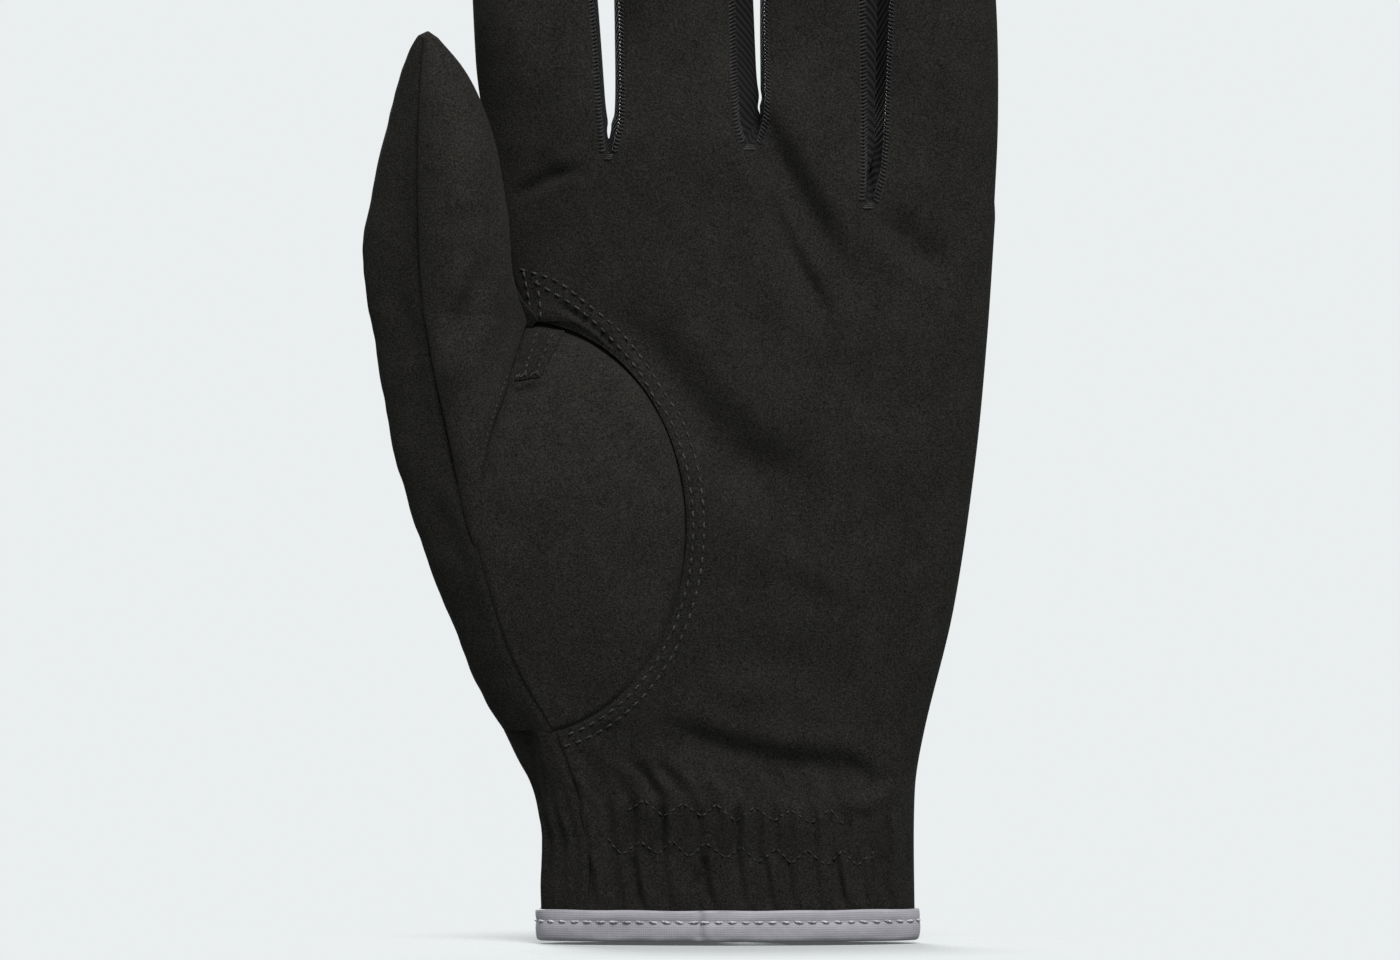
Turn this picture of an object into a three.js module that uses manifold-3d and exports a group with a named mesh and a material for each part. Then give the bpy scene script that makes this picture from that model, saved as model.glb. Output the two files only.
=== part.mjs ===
// Golf rain glove for the left hand, filled out as it is on a hand.
// X runs from the thumb side to the little-finger side, Z from the cuff to the fingertips. The palm faces -Y.
// The origin is the centre of the cuff opening, on the cuff's lower edge. All sizes are in millimetres.
import * as THREE from "three";
import { mergeVertices } from "three/addons/utils/BufferGeometryUtils.js";
import Module from "manifold-3d";

const wasm = await Module();
wasm.setup();
const { lerp, smoothstep, clamp, degToRad } = THREE.MathUtils;

// Cloth and clearances
const CLOTH = 0.9; // thickness of the microfibre panels and fourchettes
const SEAM_GAP = 0.4; // clearance between two sewn edges
const LAYER_GAP = 0.3; // clearance between two layers that lie on each other
const THREAD_RADIUS = 0.3;

// Cuff and wrist
const CUFF_EDGE_Z = 1.6; // lower edge of the cloth, inside the binding
const BINDING_HEIGHT = 5.8;
const BINDING_TAPE = 0.7; // thickness of the folded binding tape
const BINDING_STITCH_Z = 3.6;
const CUFF_LEFT = -34;
const CUFF_RIGHT = 34;
const CUFF_SEAM_X = -26; // side seam, a little round on the palm side
const CUFF_SEAM_Y = -8;
const ELASTIC = { left: -20, right: 26, low: 13, high: 28, thickness: 1 };
const ZIGZAG_UPPER = { left: -17, right: 24, z: 25.4, rise: 1.5, turns: 6 };
const ZIGZAG_LOWER = { left: -21, right: 27, z: 16.6, rise: 1.5, turns: 8 };

// Oval seam round the ball of the thumb: the right-hand side of an ellipse
const OVAL = { x: -37, z: 75, radiusX: 29.5, radiusZ: 37.5, start: degToRad(-80), end: degToRad(90) };
const OVAL_THREAD_INNER = 2;
const OVAL_THREAD_OUTER = 4;
const OVAL_THREAD_TRIM = { start: 0.12, end: 0.5 }; // angle left bare at each end of the oval, in radians

// Finger crotches: centre, height and width of each U
const CROTCHES = [
  { name: "index_middle", x: -21.7, z: 142.5, width: 1.6, sag: 0.8 },
  { name: "middle_ring", x: 4, z: 143.8, width: 2.6, sag: 0.8 },
  { name: "ring_little", x: 25.5, z: 133.2, width: 2, sag: 0.8 },
];
const INDEX_ROOT = { x: -44.4, z: 146 };
const LITTLE_ROOT = { x: 48.6, z: 131 };

// Fingers: half depth, the edges' x at the tip, the fourchettes' swell, and edge points [z, x] above the root
const FINGERS = [
  {
    name: "index", tipZ: 214, depth: 8.2, tip: [-48.2, -29.3], swell: [0, 0.9],
    left: [[160, -46.2]], right: [[149, -23.1], [171, -24.8]],
  },
  {
    name: "middle", tipZ: 224, depth: 8.4, tip: [-20.6, -1.6], swell: [0.6, 3],
    left: [[149, -19.6], [165, -19.5]], right: [[149, 1.6], [171, 0.5]],
  },
  {
    name: "ring", tipZ: 217, depth: 8, tip: [7.2, 23.4], swell: [0.6, 2],
    left: [[150, 6.7], [168, 6.8]], right: [[139, 24.7], [171, 24.2]],
  },
  {
    name: "little", tipZ: 194, depth: 7.4, tip: [30.4, 46.8], swell: [2, 0],
    left: [[141, 28], [168, 29.4]], right: [[150, 49.4], [171, 49]],
  },
];
const FOURCHETTE_HALF = 4.6; // half width of a fourchette strip, front edge to middle
const FINGER_CAP = 10; // length of the rounded fingertip
const FINGER_TIP_FLAT = 0.05; // last row stops this far below the very tip
const FINGER_MERGE = 24; // height over which a finger takes its own section above the crotch
const BEND_LENGTH = 24; // stretch of cloth above the crotch that folds when a finger flexes
const THUMB_BEND_ROWS = 2;

// Small gusset sewn over the thumb's crotch: its four corners [x, z], measured from the crotch
const GUSSET_CORNERS = {
  lowLeft: [-1.2, -10.5], lowRight: [2.6, -10.1], highLeft: [0.6, -3.5], highRight: [6, -3.5],
};

// Closure on the back of the hand
const SLIT = { halfWidth: 3, top: 58, waist: 0.6 };
const TAB = {
  root: -27, hinge: -17, end: 31, z: 33, halfHeight: 15, thickness: 1.2,
  nose: 14, noseShare: 0.94, stitchInset: 2,
};
const PATCH = { loopLeft: 4, left: 6, right: 29, halfHeight: 11, thickness: 0.8 };
const FACING = { halfWidth: 8, low: 9, high: 66, thickness: 0.7 };

// Rows and columns of the panel nets
const WRIST_ROWS = 4;
const OVAL_LOWER_ROWS = 4;
const OVAL_UPPER_ROWS = 6;
const OVAL_ROWS = OVAL_LOWER_ROWS + OVAL_UPPER_ROWS;
const INDEX_ROWS = 3;
const THUMB_ROWS = 8;
const THUMB_CROWD = 1.5; // rows stand closer together towards the thumb's tip
const FINGER_BEND_ROWS = 3;
const FINGER_ROWS = 10;
const FINGER_COLUMNS = 5;
const THUMB_COLUMNS = 8;
const FOURCHETTE_COLUMNS = 2;
const POINTED_ROW = 0.35; // a net that runs to a point starts this share of a row from it
const OUTER_CROWD = 1.6; // columns stand closer together towards an outer edge of the hand
const LAYER_NETS = {
  gusset: [3, 3], elastic: [12, 3], facing: [4, 9], tabBase: [3, 5], patch: [9, 5], tab: [14, 6],
}; // columns and rows of the layers laid on a panel
const OVAL_THREAD_SEGMENTS = 36;
const ZIGZAG_TURN_SEGMENTS = 6;
const BINDING_THREAD_SEGMENTS = 60;
const TAB_THREAD_SEGMENTS = 40;
const OVAL_THREAD_POINTS = 32;
const TAB_THREAD_POINTS = 8;

const vector = (x, y, z) => new THREE.Vector3(x, y, z);

// Smooth curve value(at) through [at, value] points.
function profile(points) {
  const slope = (i) => {
    const before = points[Math.max(i - 1, 0)];
    const after = points[Math.min(i + 1, points.length - 1)];
    return (after[1] - before[1]) / (after[0] - before[0]);
  };
  return (at) => {
    let i = 0;
    while (i < points.length - 2 && at > points[i + 1][0]) i += 1;
    const [start, low] = points[i];
    const [end, high] = points[i + 1];
    const span = end - start;
    const t = clamp((at - start) / span, 0, 1);
    const rest = 1 - t;
    const ends = low * (1 + 2 * t) * rest * rest + high * t * t * (3 - 2 * t);
    return ends + span * t * rest * (slope(i) * rest - slope(i + 1) * t);
  };
}

// Points of a smooth seam line through the given points, closer together at its end when crowd is over 1.
function seamPoints(points, steps, crowd = 1) {
  const curve = new THREE.CatmullRomCurve3(points, false, "catmullrom", 0.5);
  return Array.from({ length: steps + 1 }, (_, i) => curve.getPoint(1 - (1 - i / steps) ** crowd));
}

// Powers of the arch of a panel at its edges: a lower one gives a rounder edge
const SOFT_EDGE = 1;
const ROUND_EDGE = 0.5;
const BACK_EDGE = 0.8;
const THUMB_OUTER_EDGE = 0.8;
const THUMB_INNER_EDGE = 0.6;
const SIDE_EDGE = 0.7;
const FINGER_EDGE = 0.6;
const EDGE_FADE = 4; // power with which the depth of the thumb-side edge fades out across the hand
// Arch of a panel between its two seams: 0 at both ends, 1 in the middle.
const arch = (share, leftPower, rightPower) =>
  Math.max(Math.sin(Math.PI * share), 0) ** lerp(leftPower, rightPower, share);

// The palm side of the hand is one smooth sheet between its thumb-side edge and its little-finger edge
const ovalTop = OVAL.z + OVAL.radiusZ;
const aboveThumb = (z) => smoothstep(z, ovalTop - 8, ovalTop + 9);
const palmDepth = profile([
  [0, 11], [30, 11], [50, 11.5], [76, 12.5], [100, 12.5], [113, 11.5], [125, 11], [146, 10.8],
]);
const backDepth = profile([[0, 10.5], [60, 10.5], [92, 10.5], [113, 10.2], [125, 10], [146, 9.6]]);
const palmLeft = profile([
  [0, CUFF_SEAM_X], [18, -25.7], [29, -28.4], [38, -31.9], [49, -38.4], [58, -42], [69, -45.3], [80, -44.8],
  [91, -43], [101, -39.7], [ovalTop, OVAL.x], [121, -39.6], [133, -42], [INDEX_ROOT.z, INDEX_ROOT.x],
]);
const palmLeftDepth = profile([
  [0, CUFF_SEAM_Y], [29, -8.5], [49, -9.5], [58, -11], [69, -12.5], [80, -13.5], [91, -12], [101, -8.5],
  [ovalTop, -3.5], [121, -1], [133, 0], [INDEX_ROOT.z, 0],
]);
const littleSide = profile([
  [0, CUFF_RIGHT], [27, CUFF_RIGHT], [38, 35.7], [60, 41], [87, 45], [110, 47.2],
  [LITTLE_ROOT.z, LITTLE_ROOT.x],
]);
const thumbSide = profile([
  [0, CUFF_LEFT], [22, CUFF_LEFT], [33, -38.2], [49, -45.9], [65, -52.6], [87, -60.2], [109, -63.7],
  [125, -66.1], [137, -63.9], [153, -60.6], [161, -58], [166, -55],
]);
// Fall of the knuckle line for each millimetre towards the little finger.
const knuckleTilt = (INDEX_ROOT.z - LITTLE_ROOT.z) / (LITTLE_ROOT.x - INDEX_ROOT.x);
// Depth of the palm at (x, z); its levels tilt more and more with the knuckle line towards the fingers.
function palmY(x, z) {
  const left = palmLeft(z);
  const tilt = knuckleTilt * Math.max(x - left, 0) * smoothstep(z, 38, LITTLE_ROOT.z);
  const level = clamp(z + tilt, 0, INDEX_ROOT.z);
  const share = clamp((x - left) / (littleSide(Math.min(z, LITTLE_ROOT.z)) - left), 0, 1);
  const power = lerp(SOFT_EDGE, ROUND_EDGE, aboveThumb(level));
  return palmLeftDepth(z) * (1 - share) ** EDGE_FADE - palmDepth(level) * arch(share, power, ROUND_EDGE);
}

// Seam lines of the hand and thumb
function ovalPoint(angle, outset = 0) {
  const x = OVAL.x + (OVAL.radiusX + outset) * Math.cos(angle);
  const z = OVAL.z + (OVAL.radiusZ + outset) * Math.sin(angle);
  return vector(x, palmY(x, z), z);
}
const onEdge = (z) => vector(palmLeft(z), palmLeftDepth(z), z);
const ovalAngle = (share) => lerp(OVAL.start, OVAL.end, share);
const ovalSeam = Array.from({ length: OVAL_ROWS + 1 }, (_, i) => ovalPoint(ovalAngle(i / OVAL_ROWS)));
const wristPoint = ovalSeam[0]; // where the oval starts, above the cuff
const crotchPoint = ovalSeam[OVAL_ROWS]; // between thumb and index finger
const thumbCrotch = crotchPoint.clone().add(vector(-SEAM_GAP, 0, 0)); // the thumb's own corner of the crotch
const thumbSplit = onEdge(70); // where the thumb's inner seam leaves its outer seam
const thumbLevel = vector(-55.6, -12.5, 114); // on the outer seam, level with the crotch
const wristBack = vector(-38, 5, wristPoint.z); // on the back of the hand, level with the start of the oval

const cuffCorner = vector(CUFF_SEAM_X, CUFF_SEAM_Y, CUFF_EDGE_Z);
const wristSeam = seamPoints([cuffCorner, onEdge(17.7), onEdge(29), wristPoint], WRIST_ROWS);
const wristBackSeam = seamPoints(
  [vector(-31.5, 3.5, CUFF_EDGE_Z), vector(-31.5, 3.5, 20), vector(-34, 4, 30), wristBack], WRIST_ROWS,
);
const thumbSeamLower = seamPoints([wristPoint, onEdge(49), onEdge(58), thumbSplit], OVAL_LOWER_ROWS);
const thumbSeamMiddle = seamPoints(
  [thumbSplit, vector(-48.6, -12.5, 80), vector(-51.4, -12.5, 93), vector(-53.8, -12.5, 104), thumbLevel],
  OVAL_UPPER_ROWS,
);
const thumbSeamUpper = seamPoints(
  [thumbLevel, vector(-56.4, -13, 125), vector(-56.6, -13, 143), vector(-56, -11.5, 158),
    vector(-55.4, -10, 165)],
  THUMB_ROWS, THUMB_CROWD,
);
const thumbInnerLower = seamPoints(
  [thumbSplit, onEdge(80), onEdge(91), onEdge(101), thumbCrotch], OVAL_UPPER_ROWS,
);
const thumbInnerUpper = seamPoints(
  [thumbCrotch, vector(-40.4, -8, 121), vector(-41, -9.5, 133), vector(-42.8, -9.5, 146),
    vector(-47, -9.5, 157), vector(-53.4, -9.5, 165)],
  THUMB_ROWS, THUMB_CROWD,
);
const thumbBackSeam = seamPoints(
  [wristBack, vector(-41.5, 6, 47), vector(-44.5, 8, 60), vector(-45, 9, 76), vector(-43, 7.5, 92),
    vector(-40, 4, 104), crotchPoint],
  OVAL_ROWS,
);
const indexSide = seamPoints(
  [crotchPoint, onEdge(121), onEdge(133), vector(INDEX_ROOT.x, 0, INDEX_ROOT.z)], INDEX_ROWS,
);

// Hand: rows run from the thumb side to the little-finger side, columns follow the fingers at the knuckles
const handRows = WRIST_ROWS + OVAL_ROWS + INDEX_ROWS;
const frontLeft = [...wristSeam, ...ovalSeam.slice(1), ...indexSide.slice(1)];
const backLeft = [...wristBackSeam, ...thumbBackSeam.slice(1), ...indexSide.slice(1)];
const littleHeight = (z) => {
  const above = Math.max(z - wristPoint.z, 0) / (INDEX_ROOT.z - wristPoint.z);
  return Math.min(z, wristPoint.z) + above * (LITTLE_ROOT.z - wristPoint.z);
};
const handRight = frontLeft.map(({ z }) => vector(littleSide(littleHeight(z)), 0, littleHeight(z)));

// Ends of each finger's root line, left to right along the knuckles.
function fingerRoots() {
  const sides = CROTCHES.flatMap(({ x, z, width }) => [
    { x: x - width / 2, z },
    { x: x + width / 2, z },
  ]);
  const ends = [INDEX_ROOT, ...sides, LITTLE_ROOT];
  return FINGERS.map((_, i) => [ends[2 * i], ends[2 * i + 1]]);
}
const roots = fingerRoots();

// Shares of a finger's width at which its columns stand.
function columnShares(finger) {
  const even = Array.from({ length: FINGER_COLUMNS + 1 }, (_, i) => i / FINGER_COLUMNS);
  if (finger === 0) return even.map((s) => s ** OUTER_CROWD);
  if (finger === FINGERS.length - 1) return even.map((s) => 1 - (1 - s) ** OUTER_CROWD);
  return even;
}
const knuckles = roots.flatMap(([left, right], finger) =>
  columnShares(finger).map((share) => ({ x: lerp(left.x, right.x, share), z: lerp(left.z, right.z, share) })),
);
// The middle of each crotch's U hangs a little below its two ends.
const knuckleLine = knuckles.flatMap((point, i) => {
  const finger = Math.floor(i / (FINGER_COLUMNS + 1));
  const last = i % (FINGER_COLUMNS + 1) === FINGER_COLUMNS;
  if (!last || finger === FINGERS.length - 1) return [point];
  return [point, { x: CROTCHES[finger].x, z: CROTCHES[finger].z - CROTCHES[finger].sag }];
});
const FINGER_STRIDE = FINGER_COLUMNS + 2; // columns from one finger's first to the next finger's first
const handSpan = LITTLE_ROOT.x - INDEX_ROOT.x;
const handShares = knuckleLine.map(({ x }) => (x - INDEX_ROOT.x) / handSpan);
const knuckleLift = knuckleLine.map(({ z }, i) => z - lerp(INDEX_ROOT.z, LITTLE_ROOT.z, handShares[i]));

const backEdge = (z) => lerp(BACK_EDGE, ROUND_EDGE, aboveThumb(z));
const knuckleRise = (row) => smoothstep(row, WRIST_ROWS + OVAL_ROWS / 2, handRows);

// Rows of a hand panel from its thumb-side seam to the little-finger side, at the depth that depthAt gives.
function handNet(lefts, depthAt) {
  return lefts.map((left, row) =>
    handShares.map((share, column) => {
      const point = left.clone().lerp(handRight[row], share);
      point.z += knuckleRise(row) * knuckleLift[column];
      point.y = depthAt(point, share, left);
      return point;
    }),
  );
}
const palmNet = () => handNet(frontLeft, (point) => palmY(point.x, point.z));
const backNet = () =>
  handNet(backLeft, (point, share, left) => {
    const swell = backDepth(left.z) * arch(share, backEdge(left.z), ROUND_EDGE);
    return left.y * (1 - share) ** EDGE_FADE + swell;
  });
const widestShare = (power) => 1 - 0.5 ** (1 / power);

// Thumb: rows run from the outer seam to the inner seam.
function pointedRows(lefts, rights) {
  const start = (line) => line[0].clone().lerp(line[1], POINTED_ROW);
  return [[start(lefts), start(rights)], ...lefts.slice(1).map((left, i) => [left, rights[i + 1]])];
}
const evenShares = (columns) => Array.from({ length: columns + 1 }, (_, i) => i / columns);
const thumbFrontSwell = profile([[69, 0.5], [90, 3], [112, 5.5], [135, 6], [152, 5], [161, 2.5], [165, 0.6]]);
function thumbFrontNet() {
  const lefts = [...thumbSeamMiddle, ...thumbSeamUpper.slice(1)];
  const rights = [...thumbInnerLower, ...thumbInnerUpper.slice(1)];
  return pointedRows(lefts, rights).map(([left, right]) =>
    evenShares(THUMB_COLUMNS).map((share) => {
      const point = left.clone().lerp(right, share);
      point.y -= thumbFrontSwell(left.z) * arch(share, THUMB_OUTER_EDGE, THUMB_INNER_EDGE);
      return point;
    }),
  );
}
// The strip round the thumb side, from the cuff to the thumb's tip.
const sideSwell = profile([
  [0, 0], [38, 0], [60, 1.5], [90, 4], [112, 8.5], [135, 10.5], [152, 8.5], [160, 5.5], [164, 2], [166, 0.5],
]);
// Power that places the strip's widest point: a higher one moves it towards the front seam.
const sideWrap = profile([[0, 1.2], [38, 1.2], [70, 2], [112, 2.4], [166, 2.4]]);
function sideNet() {
  const thumbSeams = [thumbSeamLower, thumbSeamMiddle, thumbSeamUpper];
  const lefts = [...wristSeam, ...thumbSeams.flatMap((seam) => seam.slice(1))];
  const rights = [...wristBackSeam, ...thumbBackSeam.slice(1, -1), ...thumbInnerUpper];
  return lefts.map((left, row) => {
    const right = rights[row];
    const wrap = sideWrap(left.z);
    const reach = Math.max(lerp(left.x, right.x, widestShare(wrap)) - thumbSide(left.z), 0);
    return evenShares(THUMB_COLUMNS).map((share) => {
      const point = left.clone().lerp(right, share);
      point.x -= reach * Math.sin(Math.PI * (1 - share) ** wrap);
      point.y += sideSwell(left.z) * arch(share, SIDE_EDGE, SIDE_EDGE);
      return point;
    });
  });
}
const THENAR_SWELL = 2.5;
function thenarNet() {
  const lefts = [...thumbSeamLower, ...thumbInnerLower.slice(1)];
  const rows = pointedRows(lefts, ovalSeam);
  const last = rows.length - 1;
  rows[last] = [0, 1].map((side) => rows[last][side].clone().lerp(rows[last - 1][side], POINTED_ROW));
  return rows.map(([left, right], row) =>
    evenShares(THUMB_COLUMNS).map((share) => {
      const point = left.clone().lerp(right, share);
      const inside = Math.sin(Math.PI * share) * Math.sin((Math.PI * row) / last);
      const sheet = share * (1 - share) === 0 ? point.y : palmY(point.x, point.z);
      point.y = sheet - THENAR_SWELL * inside;
      return point;
    }),
  );
}

// Fingers: rows climb from the root line to the tip, closer together in the rounded tip.
function fingerHeights(finger) {
  const bend = BEND_LENGTH / (FINGERS[finger].tipZ - roots[finger][0].z);
  const cap = 1 - FINGER_CAP / (FINGERS[finger].tipZ - roots[finger][0].z);
  const end = 1 - FINGER_TIP_FLAT / (FINGERS[finger].tipZ - roots[finger][0].z);
  const straightRows = Math.round((FINGER_ROWS - FINGER_BEND_ROWS) / 2);
  const capRows = FINGER_ROWS - FINGER_BEND_ROWS - straightRows;
  const low = Array.from({ length: FINGER_BEND_ROWS }, (_, i) => (bend * i) / FINGER_BEND_ROWS);
  const straight = Array.from({ length: straightRows }, (_, i) => lerp(bend, cap, i / straightRows));
  const round = evenShares(capRows).map((s) => lerp(cap, end, Math.sin((s * Math.PI) / 2)));
  return [...low, ...straight, ...round];
}
// Left and right edge points [x, z] of a finger at a height share, with the rounding of the tip.
function fingerEdges(finger, height) {
  const { tipZ, left, right, tip } = FINGERS[finger];
  const [leftRoot, rightRoot] = roots[finger];
  const zLeft = lerp(leftRoot.z, tipZ, height);
  const zRight = lerp(rightRoot.z, tipZ, height);
  const xLeft = profile([[leftRoot.z, leftRoot.x], ...left, [tipZ, tip[0]]])(zLeft);
  const xRight = profile([[rightRoot.z, rightRoot.x], ...right, [tipZ, tip[1]]])(zRight);
  const fromTip = clamp((tipZ - (zLeft + zRight) / 2) / FINGER_CAP, 0, 1);
  const round = Math.sqrt(1 - (1 - fromTip) ** 2);
  const middle = (xLeft + xRight) / 2;
  return {
    left: { x: lerp(middle, xLeft, round), z: zLeft },
    right: { x: lerp(middle, xRight, round), z: zRight },
    round,
  };
}
// Depth of a finger's cut edges: its fourchette's half width, or nothing on the outer sides of the hand.
function edgeDepths(finger, round) {
  const depth = FOURCHETTE_HALF * round;
  return [finger === 0 ? 0 : depth, finger === FINGERS.length - 1 ? 0 : depth];
}
function fingerNet(finger, side, hand) {
  const knuckleRow = hand[handRows];
  const first = finger * FINGER_STRIDE;
  const rise = FINGERS[finger].tipZ - roots[finger][0].z;
  return fingerHeights(finger).map((height) => {
    const { left, right, round } = fingerEdges(finger, height);
    const [leftDepth, rightDepth] = edgeDepths(finger, round);
    const own = smoothstep(height * rise, 0, FINGER_MERGE);
    return columnShares(finger).map((share, column) => {
      const edge = lerp(leftDepth, rightDepth, share);
      const depth = edge + (FINGERS[finger].depth * round - edge) * arch(share, FINGER_EDGE, FINGER_EDGE);
      const y = lerp(knuckleRow[first + column].y, side * depth, own);
      return vector(lerp(left.x, right.x, share), y, lerp(left.z, right.z, share));
    });
  });
}
// One side wall of a finger, from the front edge to the back edge, swelling into the gap beside it.
function fourchetteNet(finger, sideIndex, front, back) {
  const column = sideIndex === 0 ? 0 : FINGER_COLUMNS;
  const outward = sideIndex === 0 ? -1 : 1;
  return front.map((row, i) => {
    const from = row[column];
    const to = back[i][column];
    const round = fingerEdges(finger, fingerHeights(finger)[i]).round;
    const open = smoothstep(i, 0, FINGER_BEND_ROWS) * FINGERS[finger].swell[sideIndex] * round;
    return evenShares(FOURCHETTE_COLUMNS).map((share) => {
      const point = from.clone().lerp(to, share);
      point.x += outward * open * Math.sin(Math.PI * share);
      return point;
    });
  });
}
// The cloth round the bottom of a crotch: down one finger's side, across the U and up the next finger's side.
function gussetNet(crotch, leftWall, rightWall, palm, back) {
  const middle = crotch * FINGER_STRIDE + FINGER_COLUMNS + 1;
  const from = palm[handRows][middle];
  const to = back[handRows][middle];
  const bottom = evenShares(FOURCHETTE_COLUMNS).map((share) => from.clone().lerp(to, share));
  const down = leftWall.slice(0, FINGER_BEND_ROWS + 1).reverse();
  return [...down, bottom, ...rightWall.slice(0, FINGER_BEND_ROWS + 1)];
}

// Normals of a net: across each row times up the columns, turned over where its other face is the outer one.
function netNormals(net, turn) {
  const rows = net.length - 1;
  const columns = net[0].length - 1;
  return net.map((line, r) =>
    line.map((_, c) => {
      const across = line[Math.min(c + 1, columns)].clone().sub(line[Math.max(c - 1, 0)]);
      const up = net[Math.min(r + 1, rows)][c].clone().sub(net[Math.max(r - 1, 0)][c]);
      return across.cross(up).normalize().multiplyScalar(turn);
    }),
  );
}

// The nets of the glove's skin share their seam points, and the normal there is the mean of all nets that meet.
const skin = new Map();
const seamNormals = new Map();
const seamKey = (p) => [p.x, p.y, p.z].map((value) => Math.round(value * 100)).join(",");
function addNet(name, net, turn) {
  const normals = netNormals(net, turn);
  skin.set(name, { net, turn });
  net.forEach((line, r) =>
    line.forEach((point, c) => {
      const key = seamKey(point);
      if (!seamNormals.has(key)) seamNormals.set(key, vector(0, 0, 0));
      seamNormals.get(key).add(normals[r][c]);
    }),
  );
  return net;
}
function meanNormals({ net }) {
  return net.map((line) => line.map((point) => seamNormals.get(seamKey(point)).clone().normalize()));
}

const FACING_PALM = 1;
const FACING_BACK = -1;
const palm = addNet("palm", palmNet(), FACING_PALM);
const handBack = addNet("back", backNet(), FACING_BACK);
addNet("thenar", thenarNet(), FACING_PALM);
addNet("thumbFront", thumbFrontNet(), FACING_PALM);
addNet("side", sideNet(), FACING_BACK);
FINGERS.forEach(({ name }, finger) => {
  const front = addNet(`${name}Front`, fingerNet(finger, -1, palm), FACING_PALM);
  const back = addNet(`${name}Back`, fingerNet(finger, 1, handBack), FACING_BACK);
  const wall = (side) => fourchetteNet(finger, side, front, back);
  if (finger > 0) addNet(`${name}WallLeft`, wall(0), FACING_BACK);
  if (finger < FINGERS.length - 1) addNet(`${name}WallRight`, wall(1), FACING_PALM);
});
CROTCHES.forEach((_, crotch) => {
  const leftWall = skin.get(`${FINGERS[crotch].name}WallRight`).net;
  const rightWall = skin.get(`${FINGERS[crotch + 1].name}WallLeft`).net;
  addNet(`gusset${crotch}`, gussetNet(crotch, leftWall, rightWall, palm, handBack), FACING_BACK);
});

// Closed solid between an outer and an inner net of points with the same rows and columns.
function solidBetween(outer, inner, turn) {
  const rows = outer.length;
  const columns = outer[0].length;
  const positions = [...outer.flat(), ...inner.flat()].flatMap((p) => [p.x, p.y, p.z]);
  const at = (r, c) => r * columns + c;
  const under = (i) => i + rows * columns;
  const faces = [];
  const quad = (a, b, c, d) => faces.push(...(turn > 0 ? [a, b, c, a, c, d] : [a, c, b, a, d, c]));
  for (let r = 0; r + 1 < rows; r += 1) {
    for (let c = 0; c + 1 < columns; c += 1) {
      const [a, b, e, d] = [at(r, c), at(r, c + 1), at(r + 1, c + 1), at(r + 1, c)];
      quad(a, b, e, d);
      quad(under(a), under(d), under(e), under(b));
    }
  }
  const wall = (a, b) => quad(a, under(a), under(b), b);
  for (let c = 0; c + 1 < columns; c += 1) {
    wall(at(0, c), at(0, c + 1));
    wall(at(rows - 1, c + 1), at(rows - 1, c));
  }
  for (let r = 0; r + 1 < rows; r += 1) {
    wall(at(r + 1, 0), at(r, 0));
    wall(at(r, columns - 1), at(r + 1, columns - 1));
  }
  return new THREE.BufferGeometry()
    .setAttribute("position", new THREE.Float32BufferAttribute(positions, 3))
    .setIndex(faces);
}

// Moves the rim of a net inwards by half a seam's clearance.
function drawIn(net, distance) {
  const rows = net.length - 1;
  const columns = net[0].length - 1;
  return net.map((line, r) =>
    line.map((point, c) => {
      const moved = point.clone();
      const alongRow = line[Math.min(c + 1, columns)].clone().sub(line[Math.max(c - 1, 0)]).normalize();
      const upColumn = net[Math.min(r + 1, rows)][c].clone().sub(net[Math.max(r - 1, 0)][c]).normalize();
      const step = (inside, edge) => {
        const inward = inside.clone().sub(point);
        moved.add(inward.addScaledVector(edge, -inward.dot(edge)).setLength(distance));
      };
      if (c === 0) step(line[1], upColumn);
      if (c === columns) step(line[columns - 1], upColumn);
      if (r === 0) step(net[1][c], alongRow);
      if (r === rows) step(net[rows - 1][c], alongRow);
      return moved;
    }),
  );
}

// One cloth panel: rows [from, to] of a net, as thick as the cloth, clear of its neighbours.
function panel(name, from = 0, to = skin.get(name).net.length - 1) {
  const { net, turn } = skin.get(name);
  const normals = meanNormals(skin.get(name)).slice(from, to + 1);
  const outer = drawIn(net.slice(from, to + 1), SEAM_GAP / 2);
  const inner = outer.map((line, r) => line.map((p, c) => p.clone().addScaledVector(normals[r][c], -CLOTH)));
  return solidBetween(outer, inner, turn);
}

// Point and outward normal of a net at (x, z), on the face that is nearest to a viewer in front of the net.
function onNet(name, x, z) {
  const { net, turn } = skin.get(name);
  const normals = meanNormals(skin.get(name));
  let nearest = null;
  for (let r = 0; r + 1 < net.length; r += 1) {
    for (let c = 0; c + 1 < net[0].length; c += 1) {
      const corners = [[r, c], [r, c + 1], [r + 1, c + 1], [r + 1, c]];
      for (const picks of [[0, 1, 2], [0, 2, 3]]) {
        const [a, b, d] = picks.map((i) => net[corners[i][0]][corners[i][1]]);
        const area = (b.x - a.x) * (d.z - a.z) - (d.x - a.x) * (b.z - a.z);
        const s = ((x - a.x) * (d.z - a.z) - (d.x - a.x) * (z - a.z)) / area;
        const t = ((b.x - a.x) * (z - a.z) - (x - a.x) * (b.z - a.z)) / area;
        if (s < 0 || t < 0 || s + t > 1) continue;
        const [na, nb, nd] = picks.map((i) => normals[corners[i][0]][corners[i][1]]);
        const mix = (p, q, w) =>
          p.clone().multiplyScalar(1 - s - t).addScaledVector(q, s).addScaledVector(w, t);
        const found = { point: mix(a, b, d), normal: mix(na, nb, nd).normalize() };
        if (!nearest || turn * found.point.y < turn * nearest.point.y) nearest = found;
      }
    }
  }
  if (!nearest) throw new Error(`(${x.toFixed(1)}, ${z.toFixed(1)}) is off the ${name} panel`);
  return nearest;
}
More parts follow.
